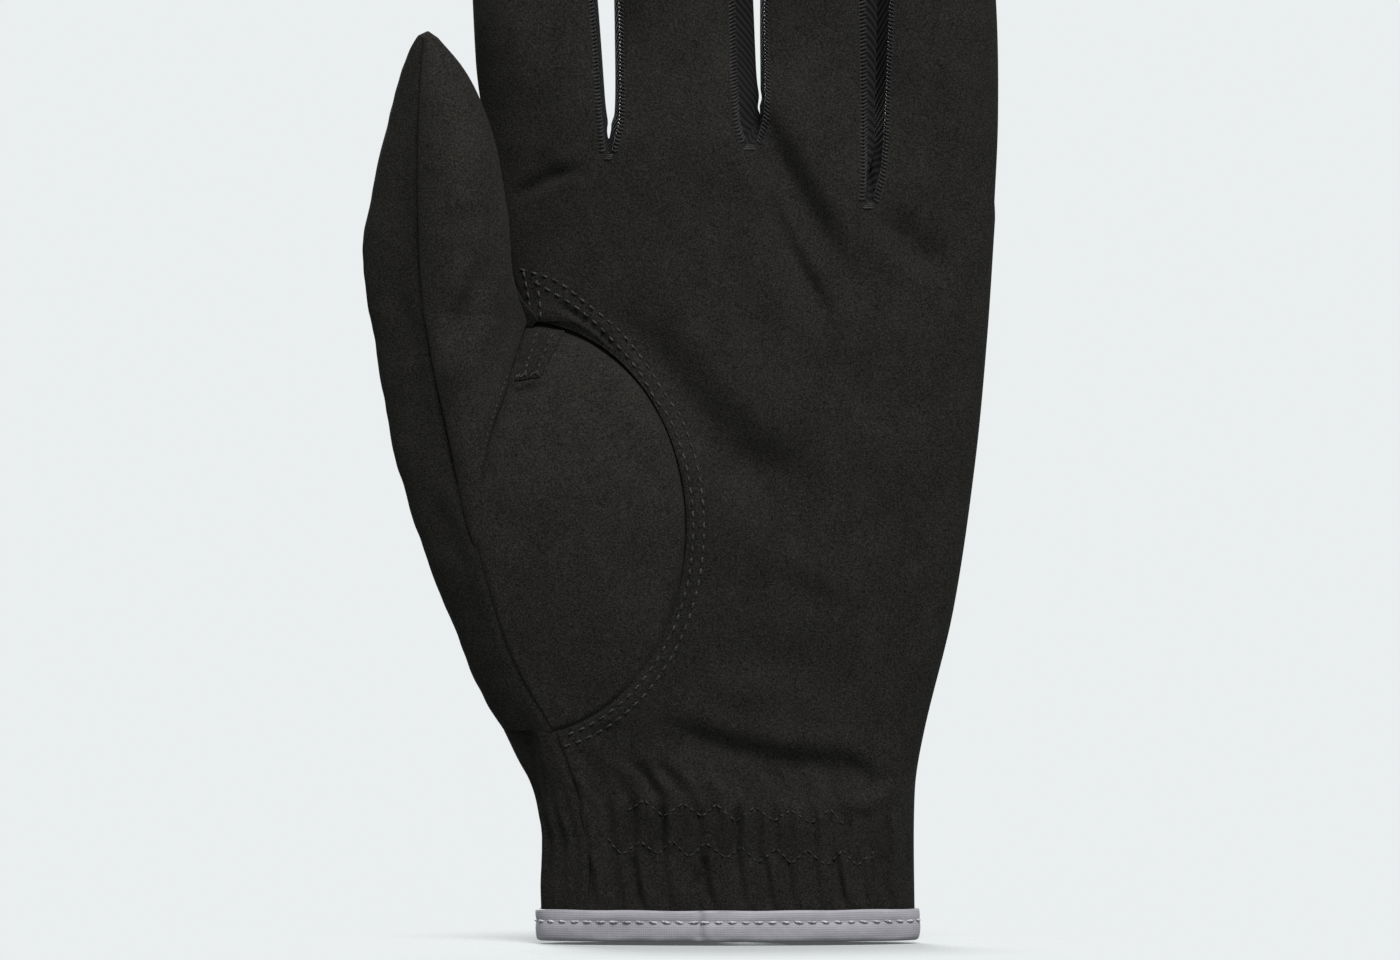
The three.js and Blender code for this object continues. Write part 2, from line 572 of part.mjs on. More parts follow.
const lifted = (name, x, z, lift) => {
  const { point, normal } = onNet(name, x, z);
  return point.addScaledVector(normal, lift);
};

// A layer laid on a panel: place(across, up) gives [x, z], and it lies from lift to lift + thickness.
function layer(name, place, [columns, rows], lift, thickness) {
  const at = (height) =>
    evenShares(rows).map((up) =>
      evenShares(columns).map((across) => {
        const [x, z] = place(across, up);
        return lifted(name, x, z, height);
      }),
    );
  return solidBetween(at(lift + thickness), at(lift), skin.get(name).turn);
}
const evenly = (from, to, columns) => evenShares(columns).map((share) => lerp(from, to, share));
const rectangle = (left, right, low, high) => (across, up) =>
  [lerp(left, right, across), lerp(low, high, up)];
function quadrangle({ lowLeft, lowRight, highLeft, highRight }) {
  const mix = (axis, across, up) =>
    lerp(lerp(lowLeft[axis], lowRight[axis], across), lerp(highLeft[axis], highRight[axis], across), up);
  return (across, up) => [mix(0, across, up), mix(1, across, up)];
}

// A thread through points in space, and one lying on a panel along points [x, z].
function tube(points, steps) {
  const corners = [45, 135, 225, 315].map(degToRad);
  const onCircle = (angle) => new THREE.Vector2(Math.cos(angle), Math.sin(angle));
  const section = corners.map((angle) => onCircle(angle).multiplyScalar(THREAD_RADIUS));
  const curve = new THREE.CatmullRomCurve3(points);
  return new THREE.ExtrudeGeometry(new THREE.Shape(section), { steps, extrudePath: curve });
}
const ON_CLOTH = LAYER_GAP + THREAD_RADIUS;
const thread = (name, points, steps, below = 0) =>
  tube(points.map(([x, z]) => lifted(name, x, z, below + ON_CLOTH)), steps);
function ovalThreadPoints(outset) {
  const start = OVAL.start + OVAL_THREAD_TRIM.start;
  const end = OVAL.end - OVAL_THREAD_TRIM.end;
  return evenly(start, end, OVAL_THREAD_POINTS).map((angle) => {
    const { x, z } = ovalPoint(angle, outset);
    return [x, z];
  });
}
function zigzagPoints({ left, right, z, rise, turns }) {
  return evenly(left, right, turns * 2).map((x, i) => [x, z + (i % 2 ? rise : -rise)]);
}

// Boolean helpers
function solid(geometry) {
  const bare = geometry.clone();
  bare.deleteAttribute("normal");
  bare.deleteAttribute("uv");
  const merged = mergeVertices(bare);
  const triVerts = new Uint32Array(merged.index.array);
  const vertProperties = merged.attributes.position.array;
  return new wasm.Manifold(new wasm.Mesh({ numProp: 3, vertProperties, triVerts }));
}
function geometryOf(made) {
  const { vertProperties, triVerts } = made.getMesh();
  return new THREE.BufferGeometry()
    .setAttribute("position", new THREE.BufferAttribute(vertProperties, 3))
    .setIndex(new THREE.BufferAttribute(triVerts, 1));
}

// The slit that lets the hand in: a tall narrow wedge through the back of the cuff.
function slitCut() {
  const below = -10;
  const depth = 60;
  const outline = new THREE.Shape();
  outline.moveTo(-SLIT.halfWidth, below);
  outline.lineTo(SLIT.halfWidth, below);
  outline.lineTo(SLIT.halfWidth, 0);
  outline.quadraticCurveTo(SLIT.halfWidth * SLIT.waist, SLIT.top, 0, SLIT.top);
  outline.quadraticCurveTo(-SLIT.halfWidth * SLIT.waist, SLIT.top, -SLIT.halfWidth, 0);
  const prism = new THREE.ExtrudeGeometry(outline, { depth, bevelEnabled: false, curveSegments: 6 });
  return solid(prism.rotateX(Math.PI / 2).translate(0, depth, 0));
}
const withSlit = (geometry) => geometryOf(solid(geometry).subtract(slitCut()));

// The cuff's outline from one side of the slit round the palm to the other side, with outward directions.
function cuffLoop() {
  const clear = SLIT.halfWidth + SEAM_GAP;
  const bottom = (name) => {
    const normals = meanNormals(skin.get(name))[0];
    return skin.get(name).net[0].map((point, i) => ({ point, normal: normals[i] }));
  };
  const onBack = (x) => onNet("back", x, CUFF_EDGE_Z + 0.01);
  const back = bottom("back");
  const right = back.filter(({ point }) => point.x > clear + 1);
  const left = back.filter(({ point }) => point.x < -clear - 1);
  const round = [...bottom("palm").slice(1, -1).reverse(), ...bottom("side").slice(0, -1)];
  return [onBack(clear), ...right, ...round, ...left, onBack(-clear)].map(({ point, normal }) => ({
    point,
    out: vector(normal.x, normal.y, 0).normalize(),
  }));
}
const BINDING_FACE = LAYER_GAP + BINDING_TAPE;
// Grey tape folded over the cuff's lower edge.
function cuffBinding() {
  const inside = -CLOTH - LAYER_GAP;
  const floor = CUFF_EDGE_Z - LAYER_GAP;
  const channel = [
    [BINDING_FACE, 0], [BINDING_FACE, BINDING_HEIGHT], [LAYER_GAP, BINDING_HEIGHT], [LAYER_GAP, floor],
    [inside, floor], [inside, BINDING_HEIGHT], [inside - BINDING_TAPE, BINDING_HEIGHT],
    [inside - BINDING_TAPE, 0],
  ];
  const rings = cuffLoop().map(({ point, out }) =>
    channel.map(([offset, z]) => vector(point.x + out.x * offset, point.y + out.y * offset, z)),
  );
  return sweep(rings, channel);
}
function bindingThread() {
  const offset = BINDING_FACE + ON_CLOTH;
  const path = cuffLoop().map(({ point, out }) =>
    vector(point.x + out.x * offset, point.y + out.y * offset, BINDING_STITCH_Z),
  );
  return tube(path.slice(1, -1), BINDING_THREAD_SEGMENTS);
}
// Closed solid through rings of points that follow one section outline.
function sweep(rings, outline) {
  const count = outline.length;
  const positions = rings.flat().flatMap((p) => [p.x, p.y, p.z]);
  const faces = [];
  for (let r = 0; r + 1 < rings.length; r += 1) {
    for (let i = 0; i < count; i += 1) {
      const next = (i + 1) % count;
      const [a, b, c, d] = [r * count + i, r * count + next, (r + 1) * count + next, (r + 1) * count + i];
      faces.push(a, b, c, a, c, d);
    }
  }
  const cap = THREE.ShapeUtils.triangulateShape(outline.map(([x, y]) => new THREE.Vector2(x, y)), []);
  const last = (rings.length - 1) * count;
  cap.forEach(([a, b, c]) => {
    faces.push(c, b, a);
    faces.push(last + a, last + b, last + c);
  });
  return new THREE.BufferGeometry()
    .setAttribute("position", new THREE.Float32BufferAttribute(positions, 3))
    .setIndex(faces);
}

// Closure tab: a straight strap with a rounded nose, in layers over the slit
const HOOK_LIFT = LAYER_GAP + PATCH.thickness + LAYER_GAP;
const TAB_LIFT = HOOK_LIFT + PATCH.thickness + LAYER_GAP;
// Half height of the tab at x, falling in an ellipse towards the end of its nose.
function tabHalf(x) {
  const intoNose = clamp((x - (TAB.end - TAB.nose)) / TAB.nose, 0, 1);
  return TAB.halfHeight * Math.sqrt(1 - (TAB.noseShare * intoNose) ** 2);
}
function tabPlace(across, up) {
  const x = lerp(TAB.hinge + SEAM_GAP, TAB.end, across);
  return [x, lerp(TAB.z - tabHalf(x), TAB.z + tabHalf(x), up)];
}
function hookPlace(across, up) {
  const x = lerp(PATCH.left, PATCH.right - PATCH.thickness, across);
  const half = Math.min(PATCH.halfHeight, tabHalf(x)) - PATCH.thickness;
  return [x, lerp(TAB.z - half, TAB.z + half, up)];
}
function tabThreadPoints() {
  const inset = TAB.stitchInset;
  const edge = evenly(TAB.hinge + inset, TAB.end - inset, TAB_THREAD_POINTS);
  const half = (x) => tabHalf(x + inset) - inset;
  const upper = edge.map((x) => [x, TAB.z + half(x)]);
  return [...upper, ...edge.map((x) => [x, TAB.z - half(x)]).reverse()];
}

// Finishes
const finish = (color, roughness) => new THREE.MeshStandardMaterial({ color, roughness, metalness: 0 });
const suede = finish(0x252422, 0.92);
const stretchCloth = finish(0x161516, 0.85);
const bindingTape = finish(0x918f97, 0.7);
const blackThread = finish(0x4a4948, 0.6);
const greyThread = finish(0xb4b3b8, 0.6);
const hookTape = finish(0x1a1a1b, 0.8);
const elasticTape = finish(0x1d1d1e, 0.8);

const glove = new THREE.Group();
function add(parent, name, geometry, material) {
  const mesh = new THREE.Mesh(geometry, material);
  mesh.name = name;
  parent.add(mesh);
}

// Hand
const hand = new THREE.Group();
const sideStart = WRIST_ROWS;
const sideCrotch = WRIST_ROWS + OVAL_ROWS;
add(hand, "palm_panel", panel("palm"), suede);
add(hand, "back_panel", withSlit(panel("back")), suede);
add(hand, "thenar_panel", panel("thenar"), suede);
add(hand, "wrist_side_panel", panel("side", 0, sideStart), suede);
add(hand, "thumb_front_base", panel("thumbFront", 0, OVAL_UPPER_ROWS), suede);
add(hand, "thumb_back_base", panel("side", sideStart, sideCrotch), suede);
CROTCHES.forEach(({ name }, i) => add(hand, `crotch_gusset_${name}`, panel(`gusset${i}`), stretchCloth));
const gussetCorner = quadrangle(GUSSET_CORNERS);
const gussetPlace = (across, up) => {
  const [x, z] = gussetCorner(across, up);
  return [OVAL.x + x, ovalTop + z];
};
add(hand, "thumb_gusset", layer("thenar", gussetPlace, LAYER_NETS.gusset, LAYER_GAP, CLOTH), suede);
add(hand, "cuff_binding", cuffBinding(), bindingTape);
const elasticPlace = rectangle(ELASTIC.left, ELASTIC.right, ELASTIC.low, ELASTIC.high);
const elasticLift = -CLOTH - LAYER_GAP - ELASTIC.thickness;
const elastic = layer("palm", elasticPlace, LAYER_NETS.elastic, elasticLift, ELASTIC.thickness);
add(hand, "wrist_elastic", elastic, elasticTape);
const facingPlace = rectangle(-FACING.halfWidth, FACING.halfWidth, FACING.low, FACING.high);
const facingLift = -CLOTH - LAYER_GAP - FACING.thickness;
const facing = layer("back", facingPlace, LAYER_NETS.facing, facingLift, FACING.thickness);
add(hand, "slit_facing", withSlit(facing), stretchCloth);
const ovalThread = (outset) => thread("palm", ovalThreadPoints(outset), OVAL_THREAD_SEGMENTS);
add(hand, "oval_thread_inner", ovalThread(OVAL_THREAD_INNER), blackThread);
add(hand, "oval_thread_outer", ovalThread(OVAL_THREAD_OUTER), blackThread);
const zigzagThread = (zigzag) => thread("palm", zigzagPoints(zigzag), zigzag.turns * ZIGZAG_TURN_SEGMENTS);
add(hand, "elastic_thread_upper", zigzagThread(ZIGZAG_UPPER), blackThread);
add(hand, "elastic_thread_lower", zigzagThread(ZIGZAG_LOWER), blackThread);
add(hand, "binding_thread", bindingThread(), greyThread);
const basePlace = rectangle(TAB.root, TAB.hinge, TAB.z - TAB.halfHeight, TAB.z + TAB.halfHeight);
const baseThickness = TAB_LIFT + TAB.thickness - LAYER_GAP;
add(hand, "closure_base", layer("back", basePlace, LAYER_NETS.tabBase, LAYER_GAP, baseThickness), suede);
const loopPlace = rectangle(PATCH.loopLeft, PATCH.right, TAB.z - PATCH.halfHeight, TAB.z + PATCH.halfHeight);
add(hand, "loop_patch", layer("back", loopPlace, LAYER_NETS.patch, LAYER_GAP, PATCH.thickness), hookTape);

// Closure tab, which peels open about its sewn edge
const closure = new THREE.Group();
add(closure, "closure_tab", layer("back", tabPlace, LAYER_NETS.tab, TAB_LIFT, TAB.thickness), suede);
add(closure, "hook_patch", layer("back", hookPlace, LAYER_NETS.patch, HOOK_LIFT, PATCH.thickness), hookTape);
const tabFace = TAB_LIFT + TAB.thickness;
add(closure, "tab_thread", thread("back", tabThreadPoints(), TAB_THREAD_SEGMENTS, tabFace), blackThread);

// Thumb
const thumb = new THREE.Group();
const frontCrotch = OVAL_UPPER_ROWS;
add(hand, "thumb_front_bend", panel("thumbFront", frontCrotch, frontCrotch + THUMB_BEND_ROWS), suede);
add(hand, "thumb_back_bend", panel("side", sideCrotch, sideCrotch + THUMB_BEND_ROWS), suede);
add(thumb, "thumb_front", panel("thumbFront", frontCrotch + THUMB_BEND_ROWS), suede);
add(thumb, "thumb_back", panel("side", sideCrotch + THUMB_BEND_ROWS), suede);

// Fingers
FINGERS.forEach(({ name }, finger) => {
  const group = new THREE.Group();
  for (const face of ["Front", "Back"]) {
    add(hand, `${name}_${face.toLowerCase()}_bend`, panel(name + face, 0, FINGER_BEND_ROWS), suede);
    add(group, `${name}_${face.toLowerCase()}`, panel(name + face, FINGER_BEND_ROWS), suede);
  }
  const walls = { Left: FINGERS[finger - 1], Right: FINGERS[finger + 1] };
  for (const [side, neighbour] of Object.entries(walls)) {
    if (!neighbour) continue;
    const wall = panel(`${name}Wall${side}`, FINGER_BEND_ROWS);
    add(group, `${name}_fourchette_${neighbour.name}_side`, wall, stretchCloth);
  }
  glove.add(group);
});

glove.add(hand, closure, thumb);
export default glove;
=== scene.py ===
"""Golf rain glove for the left hand, dressed in suede, stretch cloth, tape and thread.

Sizes are in millimetres in the glove's own frame: X runs from the thumb side to the little-finger side,
Z from the cuff to the fingertips, and the palm faces -Y. Meshes are scaled to metres when they are made.
"""

import logging
import math
from collections.abc import Callable, Sequence
from dataclasses import dataclass
from enum import Enum
from functools import cached_property

import bmesh
import bpy
import numpy as np
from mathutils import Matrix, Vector
from mathutils.bvhtree import BVHTree


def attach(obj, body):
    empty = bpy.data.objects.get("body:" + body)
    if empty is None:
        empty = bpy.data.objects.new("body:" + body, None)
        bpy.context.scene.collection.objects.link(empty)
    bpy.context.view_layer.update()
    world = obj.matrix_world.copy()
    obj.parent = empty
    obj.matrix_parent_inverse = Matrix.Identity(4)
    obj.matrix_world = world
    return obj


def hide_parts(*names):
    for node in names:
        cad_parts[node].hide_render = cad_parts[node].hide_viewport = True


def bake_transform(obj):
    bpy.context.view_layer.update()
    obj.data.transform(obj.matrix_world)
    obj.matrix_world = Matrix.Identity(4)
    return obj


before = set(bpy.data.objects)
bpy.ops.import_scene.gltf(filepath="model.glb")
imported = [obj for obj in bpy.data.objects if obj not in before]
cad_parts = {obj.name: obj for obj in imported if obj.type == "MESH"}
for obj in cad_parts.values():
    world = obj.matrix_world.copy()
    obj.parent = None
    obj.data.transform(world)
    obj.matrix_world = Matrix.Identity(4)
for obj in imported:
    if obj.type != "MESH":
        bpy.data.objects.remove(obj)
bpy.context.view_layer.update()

Array = np.ndarray
Piece = bpy.types.Object
Pair = tuple[float, float]
Point = tuple[float, float, float]
Line = tuple[Pair, ...]
MILLIMETRE = 0.001

# Where a search for the cloth starts, out of the glove and close to it.
FAR_OUT = 200.0
NEAR_CLOTH = 12.0

# Rounds that even out a laid layer's directions, and the width of its soft edge.
LAYER_ROUNDS = 6
LAYER_EDGE = 0.8

log = logging.getLogger("rain_glove")


def lerp(low: Array | float, high: Array | float, share: Array | float) -> Array | float:
    """Value a share of the way from low to high."""
    return low + (high - low) * share


def smoothstep(value: Array | float, low: float, high: float) -> Array | float:
    """Smooth rise from 0 at low to 1 at high."""
    share = np.clip((value - low) / (high - low), 0.0, 1.0)
    return share * share * (3.0 - 2.0 * share)


def bell(distance: Array, width: float) -> Array:
    """Round bump of height 1 that fades over width on both sides."""
    return np.exp(-((distance / width) ** 2))


def unit(vectors: Array) -> Array:
    """Vectors of length 1 along the last axis."""
    return vectors / np.maximum(np.linalg.norm(vectors, axis=-1, keepdims=True), 1e-9)


def arch(share: Array, left_power: Array | float, right_power: float) -> Array:
    """Arch of a panel between its seams: 0 at both ends, 1 in the middle, rounder where a power is lower."""
    return np.maximum(np.sin(np.pi * share), 0.0) ** lerp(left_power, right_power, share)


def crowded(count: int, crowd: float) -> Array:
    """Shares from 0 to 1 that stand closer together at both ends.

    Args:
        count: number of steps.
        crowd: 0 for even steps, 1 for steps that follow a half circle.

    Returns:
        count + 1 rising shares.
    """
    even = np.linspace(0.0, 1.0, count + 1)
    return lerp(even, 0.5 - 0.5 * np.cos(np.pi * even), crowd)


def smoothed(values: Array, reach: int) -> Array:
    """Values averaged twice over their neighbours, reach steps to each side.

    Args:
        values: the values in order.
        reach: how many neighbours count on each side.

    Returns:
        The softened values.
    """
    weights = np.full(2 * reach + 1, 1.0 / (2 * reach + 1))
    for _ in range(2):
        values = np.convolve(np.pad(values, reach, mode="edge"), weights, mode="valid")
    return values


class Profile:
    """Smooth run of a size along the glove through (place, value) knots."""

    def __init__(self, *knots: Pair) -> None:
        """Keeps the knots and the slope at each one.

        Args:
            knots: rising places with their values.
        """
        self.places = np.array([knot[0] for knot in knots])
        self.values = np.array([knot[1] for knot in knots])
        after = np.minimum(np.arange(len(knots)) + 1, len(knots) - 1)
        before = np.maximum(np.arange(len(knots)) - 1, 0)
        self.slopes = (self.values[after] - self.values[before]) / (self.places[after] - self.places[before])

    def __call__(self, place: Array | float) -> Array:
        """Value at a place, level beyond the two ends.

        Args:
            place: one place or many.

        Returns:
            One value for each place.
        """
        place = np.asarray(place, float)
        index = np.searchsorted(self.places[1:-1], place, side="left")
        span = self.places[index + 1] - self.places[index]
        share = np.clip((place - self.places[index]) / span, 0.0, 1.0)
        rest = 1.0 - share
        start, end = self.values[index], self.values[index + 1]
        ends = start * (1 + 2 * share) * rest**2 + end * share**2 * (3 - 2 * share)
        return ends + span * share * rest * (self.slopes[index] * rest - self.slopes[index + 1] * share)


class SeamLine:
    """Smooth line of a seam or fold through a few points in space."""

    def __init__(self, points: Sequence[Sequence[float]], crowd: float = 1.0) -> None:
        """Keeps the points, with crowd over 1 to draw the steps together towards the end."""
        self.points = np.array(points, float)
        self.crowd = crowd

    def at(self, share: Array) -> Array:
        """Points at shares of the line.

        Args:
            share: places from 0 at the start to 1 at the end.

        Returns:
            One point for each share.
        """
        last = len(self.points) - 1
        first_out = 2 * self.points[0] - self.points[1]
        last_out = 2 * self.points[-1] - self.points[-2]
        padded = np.vstack([first_out, self.points, last_out])
        place = (1.0 - (1.0 - np.clip(share, 0.0, 1.0)) ** self.crowd) * last
        index = np.minimum(place.astype(int), last - 1)
        t = (place - index)[..., None]
        before, start, end, after = (padded[index + step] for step in range(4))
        rest = 1.0 - t
        ends = start * (1 + 2 * t) * rest**2 + end * t**2 * (3 - 2 * t)
        return ends + t * rest * ((end - before) / 2 * rest - (after - start) / 2 * t)


def run_along(points: Array) -> Array:
    """Distance of each point of a line from its start, measured along the line."""
    return np.concatenate([[0.0], np.cumsum(np.linalg.norm(np.diff(points, axis=0), axis=1))])


def evenly_along(points: Array, pitch: float) -> tuple[Array, Array]:
    """Points at an even pitch along a line.

    Args:
        points: the line's points, close together.
        pitch: wanted distance between neighbours.

    Returns:
        The new points, and the unit direction of the line at each.
    """
    run = run_along(points)
    count = max(int(round(run[-1] / pitch)), 1)
    places = np.linspace(0.0, run[-1], count + 1)
    made = np.stack([np.interp(places, run, points[:, axis]) for axis in range(points.shape[1])], axis=1)
    return made, unit(np.gradient(made, axis=0))


def rows_between(
    line: Callable[[Array], Array], start: float, end: float, pitch: float, samples: int = 600
) -> Array:
    """Levels about a pitch apart along a line.

    Args:
        line: gives the line's points at an array of levels.
        start: first level.
        end: last level.
        pitch: wanted distance between two rows.
        samples: how many points measure the line.

    Returns:
        Rising levels from start to end.
    """
    fine = np.linspace(start, end, samples)
    run = run_along(line(fine))
    count = max(int(run[-1] / pitch), 4)
    return np.interp(np.linspace(0.0, run[-1], count), run, fine)


class Rough:
    """Repeatable soft unevenness made of a few waves in each direction."""

    def __init__(self, seed: int, size: float, height: float, waves: int = 14) -> None:
        """Draws the waves.

        Args:
            seed: start of the random numbers.
            size: usual distance between two humps.
            height: usual height of a hump.
            waves: how many waves are added up.
        """
        self.height = height
        random = np.random.default_rng(seed)
        angles = random.uniform(0.0, 2 * np.pi, waves)
        lengths = size * random.uniform(0.7, 1.9, waves)
        self.across = 2 * np.pi * np.cos(angles) / lengths
        self.up = 2 * np.pi * np.sin(angles) / lengths
        self.phase = random.uniform(0.0, 2 * np.pi, waves)

    def __call__(self, x: Array, z: Array) -> Array:
        """Height at each (x, z)."""
        turns = x[..., None] * self.across + z[..., None] * self.up + self.phase
        return self.height * (np.sin(turns).sum(axis=-1) / math.sqrt(len(self.phase)))


class Face(Enum):
    """Which way the outer face of a net looks: along its rows crossed with its columns, or against that."""

    ALONG = 1.0
    AGAINST = -1.0


class Held(Enum):
    """How a piece of cloth is held in the glove."""

    STRETCHED = "stretched"
    FOLDED = "folded"
    LAID = "laid"


@dataclass(frozen=True)
class Cut:
    """Flat cut of a piece of cloth: the box round it and its area, in millimetres."""

    width: float
    length: float
    area: float
    held: Held = Held.STRETCHED
    rests_on: tuple[str, ...] = ()

    def declare(self, made: Piece) -> None:
        """Does nothing; the cut's size and how it is held stay in its fields.

        Args:
            made: the piece, not used.
        """


def net_normals(points: Array, face: Face) -> Array:
    """Outward normals of a net of points, rows first."""
    across, up = np.gradient(points, axis=1), np.gradient(points, axis=0)
    return unit(np.cross(across, up)) * face.value


def edge_runs(points: Array) -> tuple[Array, Array]:
    """Distances of each point of a net from its row's two ends, measured along the row.

    Args:
        points: rows and columns of points.

    Returns:
        The distances from the first column and those from the last one.
    """
    steps = np.linalg.norm(np.diff(points, axis=1), axis=2)
    run = np.concatenate([np.zeros((len(points), 1)), np.cumsum(steps, axis=1)], axis=1)
    return run, run[:, -1:] - run


def flat_places(points: Array) -> Array:
    """Flat (across, up) places in millimetres of a net's points, for weaves and ribs.

    Args:
        points: rows and columns of points.

    Returns:
        Rows and columns of flat places.
    """
    across, _ = edge_runs(points)
    middle = points.shape[1] // 2
    across = across - across[:, middle : middle + 1]
    up, _ = edge_runs(np.swapaxes(points, 0, 1))
    return np.stack([across, np.broadcast_to(up[middle][:, None], across.shape)], axis=-1)


def mesh_object(name: str, points: Array, faces: Sequence[Sequence[int]]) -> Piece:
    """New smooth mesh object in the scene.

    Args:
        name: the piece's name.
        points: its points in millimetres.
        faces: indices of each face's points.

    Returns:
        The new object.
    """
    mesh = bpy.data.meshes.new(name)
    mesh.from_pydata((points * MILLIMETRE).tolist(), [], faces)
    mesh.polygons.foreach_set("use_smooth", np.ones(len(mesh.polygons), bool))
    made = bpy.data.objects.new(name, mesh)
    bpy.context.scene.collection.objects.link(made)
    return made


def set_flat_places(made: Piece, places: Array) -> None:
    """Writes each point's flat place, in millimetres, as the piece's texture places.

    Args:
        made: the piece.
        places: a flat place for each of its points.
    """
    loops = np.zeros(len(made.data.loops), np.int32)
    made.data.loops.foreach_get("vertex_index", loops)
    layer = made.data.uv_layers.new(name="flat")
    layer.uv.foreach_set("vector", places[loops].astype(np.float32).ravel())


def boundary_edges(quads: Array) -> Array:
    """Edges that only one quad uses, in that quad's direction.

    Args:
        quads: the four point numbers of each quad.

    Returns:
        The two point numbers of each edge.
    """
    edges = np.concatenate([quads[:, [i, (i + 1) % 4]] for i in range(4)])
    keys = np.sort(edges, axis=1)
    _, index, counts = np.unique(keys, axis=0, return_index=True, return_counts=True)
    return edges[index[counts == 1]]


def net_quads(index: Array) -> Array:
    """Corners of each quad of a net, from its points' numbers in rows and columns."""
    return np.stack([index[:-1, :-1], index[:-1, 1:], index[1:, 1:], index[1:, :-1]], axis=-1)


def cloth_shell(
    name: str,
    points: Array,
    face: Face,
    thickness: float,
    normals: Array | None = None,
    split: tuple[int, Array] | None = None,
) -> Piece:
    """Closed piece of cloth with an outer face, an inner face and cut edges.

    Args:
        name: the piece's name.
        points: rows and columns of the outer face.
        face: which way the outer face looks.
        thickness: thickness of the cloth.
        normals: outward normals, where they have to run on into a neighbour.
        split: a column that ends a slit, whose next column is the same line, and the rows where the slit
            is open.

    Returns:
        The new object.
    """
    rows, columns, _ = points.shape
    if normals is None:
        normals = net_normals(points, face)
    index = np.arange(rows * columns).reshape(rows, columns)
    if split is not None:
        column, is_open = split
        index[~is_open, column + 1] = index[~is_open, column]
    quads = net_quads(index)
    if split is not None:
        quads = np.delete(quads, split[0], axis=1)
    quads = quads.reshape(-1, 4)
    if face is Face.AGAINST:
        quads = quads[:, ::-1]
    count = rows * columns
    outer = points.reshape(-1, 3)
    outward = normals.reshape(-1, 3)
    inner = outer - outward * thickness
    rim = boundary_edges(quads)
    walls = np.stack([rim[:, 1], rim[:, 0], rim[:, 0] + count, rim[:, 1] + count], axis=-1)
    under = quads[:, ::-1] + count
    every = np.vstack([quads, under, walls])
    everywhere = np.vstack([outer, inner])
    used, packed = np.unique(every, return_inverse=True)
    made = mesh_object(name, everywhere[used], packed.reshape(-1, 4).tolist())
    corners = everywhere[walls]
    wall_normals = unit(np.cross(corners[:, 1] - corners[:, 0], corners[:, 3] - corners[:, 0]))
    loop_normals = np.concatenate(
        [outward[quads.ravel()], -outward[under.ravel() - count], np.repeat(wall_normals, 4, axis=0)]
    )
    made.data.normals_split_custom_set(loop_normals.tolist())
    flat = flat_places(points).reshape(-1, 2)
    set_flat_places(made, np.vstack([flat, flat])[used])
    return made


@dataclass(frozen=True)
class Fold:
    """A soft fold pressed into a panel, or a ridge raised on it, along a line of (x, z) points."""

    line: Line
    depth: float
    left: float = 2.5
    right: float = 2.5
    lip: float = 0.0
    taper: float = 0.35
    end_taper: float = 0.0

    def height(self, x: Array, z: Array) -> Array:
        """Change of the panel's height at each place.

        Args:
            x: places across the glove.
            z: places up the glove.

        Returns:
            Heights, below 0 in a valley.
        """
        line = SeamLine(self.line).at(np.linspace(0.0, 1.0, 6 * len(self.line)))
        reach = 4.0 * max(self.left, self.right)
        low, high = line.min(axis=0) - reach, line.max(axis=0) + reach
        near = (x > low[0]) & (x < high[0]) & (z > low[1]) & (z < high[1])
        start = line[:-1]
        along = np.diff(line, axis=0)
        length = np.linalg.norm(along, axis=1)
        run = run_along(line)
        place = np.stack([x[near], z[near]], axis=-1)[:, None, :] - start
        share = np.clip((place * along).sum(-1) / length**2, 0.0, 1.0)
        distance = np.linalg.norm(place - share[..., None] * along, axis=-1)
        nearest = distance.argmin(axis=-1)
        every = np.arange(len(nearest))
        side = along[nearest, 0] * place[every, nearest, 1] - along[nearest, 1] * place[every, nearest, 0]
        gap = distance[every, nearest]
        reached = (run[nearest] + share[every, nearest] * length[nearest]) / run[-1]
        width = np.where(side > 0, self.left, self.right)
        fade = max(self.taper, self.end_taper)
        ends = smoothstep(reached, 0.0, self.taper) * (1.0 - smoothstep(reached, 1.0 - fade, 1.0))
        heights = np.zeros_like(x)
        heights[near] = -self.depth * ends * (bell(gap, width) - self.lip * bell(gap - 1.7 * width, width))
        return heights


def relief_of(x: Array, z: Array, roughs: Sequence[Rough], folds: Sequence[Fold] = ()) -> Array:
    """Height of soft unevenness and folds together.

    Args:
        x: places across the glove.
        z: places up the glove.
        roughs: the kinds of unevenness.
        folds: the folds.

    Returns:
        One height for each place.
    """
    heights = np.zeros_like(x)
    for rough in roughs:
        heights = heights + rough(x, z)
    for fold in folds:
        heights = heights + fold.height(x, z)
    return heights


@dataclass(frozen=True)
class Crotch:
    """Foot of the gap between two fingers."""

    x: float
    z: float
    width: float
    rise: float
    pinch: float = 0.0
    lean: float = 0.0
    sag: float = 0.8


